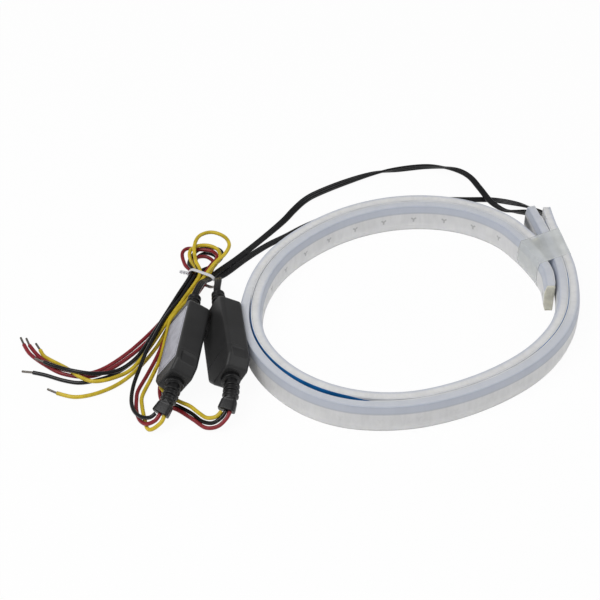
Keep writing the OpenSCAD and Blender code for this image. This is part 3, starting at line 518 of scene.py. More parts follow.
class Finish(Tree):
    """A material's nodes. The numbers that hold all over a surface are set on its shader."""

    def __init__(self, name, **shader):
        self.material = bpy.data.materials.new(name)
        super().__init__(self.material)
        self.shader = self.add("ShaderNodeBsdfPrincipled", **shader)
        self.out = self.add("ShaderNodeOutputMaterial", Surface=self.shader.outputs[0])

    def product(self, first, *others):
        """Some values multiplied."""
        for other in others:
            first = self.math("MULTIPLY", first, other)
        return first

    def apart(self, a, b):
        """How far two values are apart, without sign."""
        return self.math("ABSOLUTE", self.math("SUBTRACT", a, b))

    def between(self, value, low, high):
        """A value kept between two limits."""
        return self.math("MAXIMUM", self.math("MINIMUM", value, high), low)

    def hypot(self, x, y):
        """The root of the sum of two squares."""
        return self.math("SQRT", self.math("ADD", self.product(x, x), self.product(y, y)))

    def ramp(self, value, low, high, to_low=0.0, to_high=1.0):
        """A soft step of a value between two limits."""
        node = self.add("ShaderNodeMapRange", {"interpolation_type": "SMOOTHSTEP"},
                        Value=value, From_Min=low, From_Max=high, To_Min=to_low, To_Max=to_high)
        return node.outputs[0]

    def fade(self, value, low, high):
        """A soft step down, from 1 below the first limit to 0 above the second."""
        return self.ramp(value, low, high, 1.0, 0.0)

    def mix(self, factor, a, b):
        """Colour a where the factor is 0 and b where it is 1."""
        node = self.add("ShaderNodeMix", {"data_type": "RGBA"})
        for index, value in ((0, factor), (6, a), (7, b)):
            self.put(node, str(index), value)
        return node.outputs[2]

    def toned(self, value, rgb, dark, pale, low=0.3, high=0.7):
        """Two shades of one colour, mixed by a soft step of a noise."""
        return self.mix(self.ramp(value, low, high), shade(rgb, dark), shade(rgb, pale))

    def attribute(self, name, output):
        """A value that the mesh's points carry."""
        return self.add("ShaderNodeAttribute", {"attribute_name": name}).outputs[output]

    def place(self):
        """The three numbers of a point's place, as three values."""
        return self.add("ShaderNodeSeparateXYZ", Vector=self.attribute("place", "Vector")).outputs

    def coords(self):
        """The point in the object's own metres."""
        return self.add("ShaderNodeTexCoord").outputs["Object"]

    def noise(self, vector, scale, detail=3.0, roughness=0.5):
        """Soft noise, with this many changes in a unit of the vector."""
        return self.add("ShaderNodeTexNoise", Vector=vector, Scale=scale, Detail=detail,
                        Roughness=roughness).outputs[0]

    def done(self, tone, height, distance, strength=1.0):
        """The material, with its colour and a relief of so many metres."""
        self.put(self.shader, "Base Color", tone)
        relief = self.add("ShaderNodeBump", Height=height, Distance=distance, Strength=strength)
        self.put(self.shader, "Normal", relief.outputs[0])
        return self.material


def moulded(name, rgb, roughness, grain=2600.0, depth=0.00003, vary=0.12, **shader):
    """A moulded surface: fine grain in its relief, and a slow, slight change of tone."""
    n = Finish(name, Roughness=roughness, **shader)
    where = n.coords()
    tone = n.toned(n.noise(where, 90.0), rgb, 1 - vary, 1 + vary)
    return n.done(tone, n.noise(where, grain, 2.0), depth)


def mark_distance(n, across, up):
    """How far a point is from a light's three-armed mark: two arms that rise from its middle, and a stem.

    Each is a short line, and the distance is that to its nearest point. Both arms are one, because across
    has no sign.
    """
    arm_x, arm_y, arm_l, stem_l = 0.78, 0.63, 1.15, 1.0
    on_arm = n.between(n.math("ADD", n.product(across, arm_x), n.product(up, arm_y)), 0.0, arm_l)
    arm = n.hypot(n.math("SUBTRACT", across, n.product(on_arm, arm_x)),
                  n.math("SUBTRACT", up, n.product(on_arm, arm_y)))
    stem = n.hypot(across, n.math("SUBTRACT", up, n.between(up, -stem_l, 0.0)))
    return n.math("MINIMUM", arm, stem)


def silicone(name, s, marks, stub_shown):
    """Milky silicone, painted by each point's distance along the strip, height and depth.

    The wall is a mix of clouds and upright streaks. Over it lie, one after the other: a pale foot, which is
    painted light from the floor, a thin dark line at the floor, which is painted contact shade, the cool
    shoulder and the top edge, whose cool colour is painted see-through light from the blue liner where the
    lit side faces the front, the fold under the shoulder and the rim over it, both darkened as painted
    shade, the lights' soft grey marks, and the flat lead that shows through near the lead end.
    """
    n = Finish(name, Roughness=0.52, IOR=1.41, Specular_IOR_Level=0.3, Subsurface_Weight=0.5,
               Subsurface_Radius=(1.0, 1.0, 1.15), Subsurface_Scale=0.0018)
    place = n.attribute("place", "Vector")
    facing = n.attribute("facing", "Fac")
    along, height, depth = n.add("ShaderNodeSeparateXYZ", Vector=place).outputs
    where = n.coords()
    w = mm(s.height)
    shoulder = w - mm(s.shoulder)
    upright = n.add("ShaderNodeMapping", Vector=place, Scale=(0.55, 0.12, 0.3)).outputs[0]
    streak = n.ramp(n.noise(upright, 1.0, 3.0), 0.32, 0.68)
    cloud = n.ramp(n.noise(where, 130.0, 4.0), 0.3, 0.7)
    wall = n.mix(n.product(n.math("ADD", cloud, streak), 0.5),
                 shade(s.silicone, 0.94), shade(s.silicone, 1.06))
    cool_shoulder = n.product(n.ramp(height, shoulder - 0.3, shoulder + 0.5), n.ramp(depth, 1.6, 3.6), 0.75)
    # painted light: the blue liner as seen through the top edge, stronger where the lit side faces the
    # front
    painted_see_through_top = n.product(n.ramp(height, w - 0.6, w - 0.05), n.ramp(facing, -0.15, 0.3), 0.55)
    pitch = mm(s.light_pitch)
    across = n.math("ADD", along, pitch / 2 - mm(s.first_light))
    across = n.apart(n.math("FLOORED_MODULO", across, pitch), pitch / 2)
    up = n.math("SUBTRACT", height, w / 2 - 0.2)
    layers = (
        # the foot made paler: painted light thrown up from the floor
        (n.product(n.fade(height, w * 0.10, w * 0.42), 0.45), shade(s.silicone, 1.22)),
        # the thin dark line at the floor: painted contact shade
        (n.product(n.fade(height, 0.2, 1.0), 0.75), shade(s.silicone, 0.55)),
        # the shoulder's cool colour, and on the top edge painted see-through light from the blue liner
        (n.math("MAXIMUM", cool_shoulder, painted_see_through_top), s.tint),
        # the fold under the shoulder, darkened: painted shade
        (n.product(n.fade(n.apart(height, shoulder), 0.05, 0.65), n.ramp(depth, 3.2, 4.0), 0.45),
         shade(s.tint, 0.72)),
        # the rim over it, darkened: painted shade
        (n.product(n.fade(n.apart(height, w - 0.35), 0.05, 0.8), n.ramp(depth, 2.6, 3.4), 0.3),
         shade(s.tint, 0.76)),
        # the lights' marks
        (n.product(n.fade(mark_distance(n, across, up), 0.08, 0.7), n.ramp(depth, 3.8, 4.2), marks),
         shade(s.silicone, 0.30)),
        # the flat lead
        (n.product(n.fade(along, 6.0, 12.0), n.fade(n.math("ABSOLUTE", up), 0.8, 4.2),
                   n.ramp(depth, 2.0, 4.0), stub_shown), (0.05, 0.055, 0.06)),
    )
    for amount, tone in layers:
        wall = n.mix(amount, wall, tone)
    return n.done(wall, n.noise(where, 380.0, 3.0), 0.00007, 0.7)


def end_glue(s):
    """The plug of the free end: yellowish, with small clouds."""
    n = Finish("end_glue", Roughness=0.33, IOR=1.41, Subsurface_Weight=0.5,
               Subsurface_Radius=(1.0, 0.95, 0.8), Subsurface_Scale=0.002)
    where = n.coords()
    tone = n.toned(n.noise(where, 380.0, 4.0), s.end_glue, 0.88, 1.1)
    return n.done(tone, n.noise(where, 900.0), 0.00008, 0.7)


def liner_film(s):
    """Blue film with a soft gloss and faint creases."""
    n = Finish("liner_film", Roughness=0.32, Coat_Weight=0.25, Coat_Roughness=0.2)
    where = n.coords()
    tone = n.toned(n.noise(where, 120.0, 4.0), s.liner, 0.75, 1.2)
    return n.done(tone, n.noise(where, 700.0, 4.0), 0.00008, 0.7)


def clear_film(t):
    """Clear tape: one slow noise makes it paler and less see-through, and slanting waves crease it."""
    n = Finish("clear_film", Roughness=0.22, IOR=1.46, Coat_Weight=0.3, Coat_Roughness=0.12)
    where = n.coords()
    haze = n.noise(where, 75.0)
    n.put(n.shader, "Alpha", n.ramp(haze, 0.3, 0.7, 0.36, 0.5))
    crease = n.add("ShaderNodeTexWave", {"wave_type": "BANDS", "bands_direction": "DIAGONAL"}, Vector=where,
                   Scale=28.0, Distortion=9.0, Detail=2.0).outputs[1]
    return n.done(n.toned(haze, t.colour, 0.92, 1.08), crease, 0.0002, 0.35)


def sheath(name, rgb, roughness=0.34):
    """Soft plastic round a cord: a little glossy, with a faint drag from noise stretched along it."""
    n = Finish(name, Roughness=roughness, Specular_IOR_Level=0.4)
    tone = n.toned(n.noise(n.coords(), 240.0), rgb, 0.84, 1.12)
    drag = n.add("ShaderNodeMapping", Vector=n.attribute("place", "Vector"), Scale=(0.03, 4.0, 1.0))
    return n.done(tone, n.noise(drag.outputs[0], 3.0, 2.0), 0.00003, 0.4)


def tinned(rgb):
    """Dull tinned strands, darker in the grooves as painted shade and paler on the strands as painted
    light: the third number of a point's place is 0 in a groove and 1 on a strand.
    """
    n = Finish("tinned", Roughness=0.38, Metallic=0.85)
    # painted shade in the grooves, painted light on the strands
    tone = n.mix(n.place()[2], shade(rgb, 0.5), shade(rgb, 2.6))
    return n.done(tone, n.noise(n.coords(), 3000.0), 0.00003)


def label_stock(b):
    """Matt label stock, blank but for a fine frame line, fibrous and slightly rubbed.

    The third number of a point's place is how far it lies inside the edge. The border is paler.
    """
    n = Finish("label_stock", Roughness=0.42)
    inward = n.place()[2]
    where = n.coords()
    stock = n.toned(n.noise(where, 260.0, 5.0, 0.6), b.label, 1.08, 0.84, 0.4, 0.68)
    stock = n.mix(n.ramp(inward, 0.9, 1.2), shade(b.label, 1.25), stock)
    line = n.product(n.fade(n.apart(inward, 0.95), 0.14, 0.36), 0.85)
    return n.done(n.mix(line, stock, shade(b.label, 0.12)), n.noise(where, 1800.0), 0.00003, 0.6)


# Pieces

# How far a strip's ends are rounded, and the height and depth at the middle of its section
END_ROUND = 0.16
MIDDLE = (7.0, 2.0)
# The foot of the foam and liner
PAD_FOOT = 0.4


def strip_piece(name, path, face, span, outline, material, replaces):
    """A run of a strip: its outline at every station, drawn in a little at both ends and closed.

    A point's place is its distance, height and depth. It faces the front as far as its normal points there.
    """
    s = np.linspace(*span, max(2, int((span[1] - span[0]) / STATION)) + 1)
    stops = np.array([0.0, 0.3, 1.0]) * END_ROUND
    drawn = np.array([1.0, 0.3, 0.0]) * END_ROUND
    distances = np.concatenate([span[0] + stops, s[1:-1], span[1] - stops[::-1]])
    insets = np.concatenate([drawn, np.zeros(len(s) - 2), drawn[::-1]])
    outlines = outline[None] + (shrunk(outline, 1.0) - outline)[None] * insets[:, None, None]
    verts, faces = closed_loft(carried(path, face, distances, outlines))
    along = np.broadcast_to(distances[:, None], outlines.shape[:2])
    place = np.stack([along, outlines[..., 1], outlines[..., 0]], axis=-1).reshape(-1, 3)
    place = np.concatenate([place, [[end, *MIDDLE] for end in span]])
    to_front = (face * at_distance(path, distances)[1] @ FRONT)[:, None]
    facing = np.append(np.broadcast_to(to_front, outlines.shape[:2]), [0, 0])
    return add_piece(name, to_row(verts), faces, material, replaces, place, facing)


def pad_margin(s, usual, other, spans):
    """How far a pad lies below the top edge at a distance: another margin in some spans, softly joined."""
    rise = np.zeros_like(s)
    for low, high in spans:
        rise = np.maximum(rise, smoothstep(s, low - SPAN_FADE, low) - smoothstep(s, high, high + SPAN_FADE))
    return usual + (other - usual) * rise


def pad_layer(name, path, face, span, depths, margin, height, material, replaces):
    """A layer behind a strip: a rectangle with rounded corners, carried along the strip.

    Its lower corners stand on the foot, and its upper ones are moved to the height less the margin.
    """
    distances = np.linspace(*span, int((span[1] - span[0]) / STATION))
    low, high = min(depths), max(depths)
    tall = 10.0
    unit = rounded_loop([(low, 0), (high, 0), (high, tall), (low, tall)], [0.3 * (high - low)] * 4, 2.0, 3)
    top = height - pad_margin(distances, *margin)[:, None]
    rise = unit[None, :, 1]
    heights = np.where(rise < tall / 2, PAD_FOOT + rise, top - (tall - rise))
    outlines = np.stack(np.broadcast_arrays(unit[None, :, 0], heights), axis=-1)
    verts, faces = closed_loft(carried(path, face, distances, outlines))
    return add_piece(name, to_row(verts), faces, material, replaces)


# Each box's middle in the plan, and its turn and lean in degrees
BOX_1 = (-49.7, -42.0, -6.4, 33.0)
BOX_2 = (-31.7, -39.5, 7.8, 30.0)
# Length and depth of the slopes of the narrow faces, at the wire end and at the lead end
CHAMFER_WIRE = (5.0, 3.6)
CHAMFER_LEAD = (2.4, 1.8)


def box_height(b, box):
    """How high a box's middle lies: half the height of its leant section.

    That is half the thickness times the sine of the lean and half the width times its cosine, each less the
    corner's radius, and that radius once.
    """
    lean = math.radians(box[3])
    t, w, r = mm(b.thickness), mm(b.width), mm(b.corner)
    return (t / 2 - r) * math.sin(lean) + (w / 2 - r) * math.cos(lean) + r


def from_box(b, box, points):
    """Points of a box's own frame, leant about its length, turned about the upright and moved."""
    p = np.asarray(points, float)
    lean = math.radians(box[3])
    x = p[..., 0] * math.cos(lean) + p[..., 2] * math.sin(lean)
    z = p[..., 2] * math.cos(lean) - p[..., 0] * math.sin(lean)
    return placed(x, p[..., 1], box_height(b, box) + z, box[:2], box[2])


def from_wire_end(b, box, points):
    """Points seen from the middle of a box's wire end, outwards and level, turned with the box."""
    p = np.asarray(points, float)
    o = from_box(b, box, [0.0, -mm(b.length) / 2, 0.0])
    return placed(-p[..., 0], -p[..., 1], o[2] + p[..., 2], o[:2], box[2])


def housing(name, b, box, material, replaces):
    """A moulded box: rounded rectangles along its length, whose width follows the chamfered outline.

    The narrow faces sink by the pocket's depth inside a rounded window of the cap, and a fine groove
    runs round at the seam of the cap. The ends are quarter rounds, and the groove is a bell curve.
    """
    half_l, a0, b0, r = mm(b.length) / 2, mm(b.thickness) / 2, mm(b.width) / 2, mm(b.corner)
    seam = -half_l + mm(b.cap)
    e = mm(b.end_round)
    y_in = half_l - e + e * np.sin(np.linspace(0, math.pi / 2, 7))
    y = np.concatenate([-y_in[::-1], np.linspace(-half_l + e, half_l - e, 112)[1:-1], y_in,
                        seam + np.array([-0.28, -0.16, -0.05, 0.05, 0.16, 0.28])])
    y = np.unique(np.round(y, 5))
    ends = np.clip(np.abs(y) - (half_l - e), 0, e)
    inset = e - np.sqrt(np.maximum(e * e - ends * ends, 0))
    # the width on the two slopes and, softly joined to them, between them
    wide = np.minimum(b0 - CHAMFER_WIRE[1] + (y + half_l) * CHAMFER_WIRE[1] / CHAMFER_WIRE[0],
                      b0 - CHAMFER_LEAD[1] + (half_l - y) * CHAMFER_LEAD[1] / CHAMFER_LEAD[0])
    soft = 0.16
    wide = -soft * np.log(np.exp(-(wide - b0) / soft) + 1.0) + b0
    groove_depth, groove_width = 0.13, 0.11
    groove = groove_depth * np.exp(-((y - seam) / groove_width) ** 2)
    ax = (a0 - inset - groove)[:, None]
    bz = (wide - inset - groove)[:, None]
    across = np.linspace(-1, 1, 27)[None]
    upright = np.linspace(-1, 1, 23)[None]
    arc = np.linspace(0, math.pi / 2, 9)[1:-1][None]
    # half of each ring: a narrow face, a corner, a wide face and a corner
    x = np.concatenate([across * (ax - r), (ax - r) + r * np.sin(arc), ax + 0 * upright,
                        (ax - r) + r * np.cos(arc)], axis=1)
    z = np.concatenate([-bz + 0 * across, -(bz - r) - r * np.cos(arc), upright * (bz - r),
                        (bz - r) + r * np.sin(arc)], axis=1)
    x, z = np.concatenate([x, -x], axis=1), np.concatenate([z, -z], axis=1)
    yy = np.broadcast_to(y[:, None], x.shape)
    # the pocket's window: a rectangle with rounded corners
    corner, over_edge, from_seam = 1.5, 0.2, 1.1
    dx = np.maximum(np.abs(x) - (a0 - r + over_edge - corner), 0)
    dy = np.maximum(yy - (seam - from_seam - corner), 0)
    window = np.hypot(dx, dy) - corner
    floor = b0 - mm(b.pocket) * smoothstep(-window, -0.05, 0.9)
    z = np.where(np.abs(z) > floor, np.sign(z) * floor, z)
    verts, faces = closed_loft(np.stack([x, yy, z], axis=-1))
    return add_piece(name, to_row(from_box(b, box, verts)), faces, material, replaces)


# Where the label begins and ends along the box, half its width and its thickness
LABEL_ENDS = (-14.0, 17.0)
LABEL_HALF = 7.65
LABEL_THICK = 0.1


def label_sheet(name, b, box, material):
    """The label on the left wide face: rounded rectangles one above the other, the last ones drawn in.

    Those drawn in further than the corners shrink towards the middle instead. Each point carries how far it
    lies inside the label's edge.
    """
    y0, y1 = LABEL_ENDS
    base = rounded_loop([(y0, -LABEL_HALF), (y1, -LABEL_HALF), (y1, LABEL_HALF), (y0, LABEL_HALF)],
                        [0.6] * 4, 1.5)
    middle = base.mean(axis=0)
    far = np.array([(y1 - y0) / 2, LABEL_HALF])
    most = 0.55
    rings, place = [], []
    for inset, rise in ((0, 0), (0, 0.7), (0.03, 1), (0.45, 1), (most, 1), (0.83, 1), (1.07, 1), (1.3, 1),
                        (1.5, 1), (3.0, 1), (6.0, 1)):
        loop = shrunk(base, min(inset, most))
        if inset > most:
            loop = middle + (loop - middle) * (far - inset) / (far - most)
        out = -mm(b.thickness) / 2 - rise * LABEL_THICK
        rings.append(np.stack([np.full(len(loop), out), loop[:, 0], loop[:, 1]], axis=1))
        place.append(np.broadcast_to([0.0, 0.0, inset], (len(loop), 3)))
    verts, faces = closed_loft(np.array(rings))
    place = np.concatenate(place + [[[0, 0, 0], [0, 0, LABEL_HALF]]])
    return add_piece(name, to_row(from_box(b, box, verts)), faces, material, ["box_1_label"], place)


# The strain reliefs: a flange, ribs on a core, and on the wire side a flared block at the end of a bend,
# which droops and turns sideways by so many degrees. Then the rounding of their rims
RELIEF = {"flange_r": 4.1, "flange_l": 2.0, "rib_r": 3.5, "core_r": 2.7, "pitch": 2.3, "ribs": 4,
          "flare_l": 5.0, "flare_w": 7.4, "flare_h": 4.6, "droop": 34.0, "side": 47.0}
RIM = 0.35
# Where a rib begins to rise, stands, begins to fall and ends. On a tapered boot each is lower by the drop
RIB = (-0.12, 0.3, 0.95, 1.4)
RIB_DROP = 0.12


def rim_inset(l, end):
    """How far a boot is drawn in towards an end: a quarter round over the last stretch before it."""
    tip = np.clip((l - end + RIM) / RIM, 0, 1)
    return RIM * (1 - np.sqrt(1 - tip ** 2))


def relief_stations(total, count):
    """Distances along a boot: even ones, and closer ones at the flange's rims and the boot's end."""
    flange = RELIEF["flange_l"]
    close = [0.05, 0.12, 0.22, flange + 0.01, flange - 0.12, flange - 0.03, total - 0.05, total - 0.15,
             total - 0.3]
    return np.unique(np.concatenate([np.linspace(0, total, count), close]))


def relief_ribs(l, first, count, taper=0.0):
    """The radius along a ribbed boot: a round flange, then a core with a soft rib every pitch."""
    k = RELIEF
    radius = k["core_r"] - taper * l
    for i in range(count):
        start = first + i * k["pitch"]
        a, b, c, d = [start + at for at in RIB]
        rise = smoothstep(l, a, b) - smoothstep(l, c, d)
        radius = radius + (k["rib_r"] - k["core_r"] - RIB_DROP * i * (taper > 0)) * rise
    rounded = rim_inset(-l, 0.0) + rim_inset(l, k["flange_l"])
    return np.where(l <= k["flange_l"], k["flange_r"] - rounded, radius)


def superellipse(half_x, half_z, power, around=48):
    """Points where the powers of x over its half and of z over its half add up to 1: round at power 2,
    nearly square at 8."""
    v = np.arange(around) * 2 * math.pi / around
    c, s = np.cos(v)[None], np.sin(v)[None]
    g = (2.0 / power)[:, None]
    x = half_x[:, None] * np.sign(c) * np.abs(c) ** g
    z = half_z[:, None] * np.sign(s) * np.abs(s) ** g
    return x, z


def relief_bend():
    """The length of the wire boot's bend and the way in which it bends, down and sideways."""
    side = math.radians(RELIEF["side"])
    return (RELIEF["ribs"] * RELIEF["pitch"] + RELIEF["flare_l"] / 2,
            np.array([math.sin(side), 0.0, -math.cos(side)]))


def on_bend(l):
    """The middle line of the bend at a distance from the flange: an arc that leaves straight ahead."""
    bend, down = relief_bend()
    droop = math.radians(RELIEF["droop"])
    a = droop * np.asarray(l, float)[..., None] / bend
    return bend / droop * ((1 - np.cos(a)) * down + np.sin(a) * [0.0, 1.0, 0.0])


def wire_relief(name, b, box, material, replaces):
    """The drooping boot on the wire side: superellipses square to a line that bends down.

    The line runs through the flange, follows the bend and goes on straight from the middle of the block.
    The power rises from 2 to 4.4 where the round boot becomes the block.
    """
    k = RELIEF
    bend, down = relief_bend()
    block_at = k["flange_l"] + k["ribs"] * k["pitch"]
    total = block_at + k["flare_l"]
    l = relief_stations(total, 150)
    radius = relief_ribs(l, k["flange_l"] + k["pitch"], k["ribs"] - 1)
    block = smoothstep(l, block_at - 0.5, block_at + 0.9)
    flare = smoothstep(l, total - k["flare_l"], total)
    half_x = radius * (1 - block) + block * (k["flare_w"] / 2 * (0.9 + 0.1 * flare)) - rim_inset(l, total)
    half_z = radius * (1 - block) + block * (k["flare_h"] / 2 * (0.92 + 0.08 * flare)) - rim_inset(l, total)
    x, z = superellipse(half_x, half_z, 2 + 2.4 * block, 56)
    t = np.clip(l - k["flange_l"], 0, None)
    a = (np.radians(k["droop"]) * np.minimum(t, bend) / bend)[:, None]
    along = np.sin(a) * down + np.cos(a) * [0.0, 1.0, 0.0]
    centre = on_bend(np.minimum(t, bend)) + np.maximum(t - bend, 0)[:, None] * along
    centre[:, 1] += np.minimum(l, k["flange_l"])
    # the section turns about the level line that is square to the bend
    axis = np.cross([0.0, 1.0, 0.0], down)

    def turned(v):
        """A direction turned about the axis: v cos a, axis x v sin a, and its part along the axis."""
        kept = axis[None] * (axis @ v) * (1 - np.cos(a))
        return v * np.cos(a) + np.cross(axis, v)[None] * np.sin(a) + kept

    ex, ez = turned(np.array([1.0, 0.0, 0.0])), turned(np.array([0.0, 0.0, 1.0]))
    verts, faces = closed_loft(centre[:, None] + x[..., None] * ex[:, None] + z[..., None] * ez[:, None])
    return add_piece(name, to_row(from_wire_end(b, box, verts)), faces, material, replaces)


def lead_relief(name, b, box, material, replaces):
    """The straight boot on the lead side: rounds along the box's length, narrower towards the lead."""
    k = RELIEF
    total = k["flange_l"] + k["ribs"] * k["pitch"]
    l = relief_stations(total, 110)
    first, taper = k["flange_l"] + 0.9, 0.02
    radius = relief_ribs(l, first, k["ribs"], taper) - rim_inset(l, total)
    x, z = superellipse(radius, radius, 2 + 0 * l, 48)
    y = np.broadcast_to((mm(b.length) / 2 + l)[:, None], x.shape)
    verts, faces = closed_loft(np.stack([x, y, z], axis=-1))
    return add_piece(name, to_row(from_box(b, box, verts)), faces, material, replaces)


def clear_tape_band(t, s, paths, material):
    """One turn of film: up the lit side of the outer strip, over the top, down the lit side of the inner
    strip and back below. Its outside and inside are the same loop at two offsets, joined at both edges."""
    w, e, c, h = mm(s.height), mm(s.edge), mm(s.thickness), mm(s.shoulder)
    n, waves, depth_of_waves = 25, 5, 0.05
    f = np.linspace(0, 1, n)
    outer, inner = [at_distance(path, mm(start) + f * mm(t.width))
                    for path, start in zip(paths, (t.outer_at, t.inner_at))]
    back = -5.0
    side = rounded_loop([(back, 0.0), (e, 0.0), (c, h), (c, w - h), (e, w), (back, w)],
                        (0.1, 0.5, 2.2, 2.2, 0.5, 0.1), 0.9)
    side = side[side[:, 0] > e - 0.6]
    side = side[np.argsort(side[:, 1], kind="stable")]
    middle = np.linspace(0, 1, n)[1:-1][None, :, None]
    # the film sinks a little between the strips, in waves that shift from edge to edge
    sag = np.sin(middle[..., 0] * math.pi * waves) * np.sin(f[:, None] * math.pi * 1.5 + 0.6)
    sag = depth_of_waves * np.minimum(sag, 0)

    def one_side(strip, face, depth, height):
        """The film on one strip: its outline along the strip's normal, at its height."""
        plan = strip[0][:, None] + face * depth[None, :, None] * strip[1][:, None]
        return np.concatenate([plan, np.broadcast_to(height[None, :, None], (n, len(side), 1))], axis=-1)

    def loop(off, z_low, z_high):
        """The whole turn, moved outwards by an offset, between two heights."""
        depth = side[:, 0] + off
        height = z_low + side[:, 1] / w * (z_high - z_low)
        a = one_side(outer, 1, depth, height)
        b = one_side(inner, -1, depth[::-1], height[::-1])
        top = a[:, -1:] * (1 - middle) + b[:, :1] * middle
        low = b[:, -1:] * (1 - middle) + a[:, :1] * middle
        top[..., 2] += sag
        return np.concatenate([a, top, b, low], axis=1)

    film, gap = mm(t.film), 0.01
    rings = np.concatenate([loop(film, 0.0, w + film), loop(gap, film, w + gap)[::-1]])
    faces = [ring_faces(rings.shape[0], rings.shape[1], closed_along=True)]
    return add_piece("tape_film", to_row(rings.reshape(-1, 3)), faces, material, ["clear_tape"])


# Cords. The routes are points in plan millimetres. They are the solids' own, but for the first points of
# each wire, which are rounder, lead 2 behind the ring, which is nearer to it, and the twist of lead 1. A
# lead's points also hold its roll in degrees.

ROUTE_STEP = {"lead": 0.7, "wire": 0.6}
LEAD_1 = [
    [-43.6, 2, 8.61, 0], [-40.7, 8.6, 4.85, 0], [-37.1, 16.1, 2.66, 0], [-28.1, 28, 1.07, 0],
    [-17, 42, 1.05, 0], [-8, 54, 1.2, -14], [-3, 62, 1.45, -30], [2, 69, 1.6, -42], [8, 74.5, 1.6, -42],
    [21, 83, 1.5, -25], [36, 90.5, 1.6, 20], [49, 93.5, 1.8, 85], [61, 95.5, 1.8, 80], [70, 94.5, 2.1, 40],
    [77, 90, 3.6, 0], [82, 83, 5, 0], [86, 75, 4.6, 0], [90.5, 66.5, 3.4, 0], [96, 60, 3.4, 20],
    [101.5, 57, 4.6, 50],
]
LEAD_2 = [
    [-36.4, 5, 7.99, 0], [-37.8, 10.4, 3.36, 0], [-33.4, 16.9, 1.19, 0], [-24.9, 27, 1, 0],
    [-15.5, 36.4, 1.01, 0], [-6.5, 43.3, 1.01, 0], [2, 50.2, 1.01, 0], [12, 56.6, 1.01, 0],
    [25, 63.2, 1, 0], [40, 68, 1, 0], [55, 70, 1, 0], [68, 70.6, 1, 0], [80, 70.6, 1, 0], [91, 70.5, 1, 0],
    [100, 68, 1.4, 0], [107, 63.5, 2.6, 30],
]
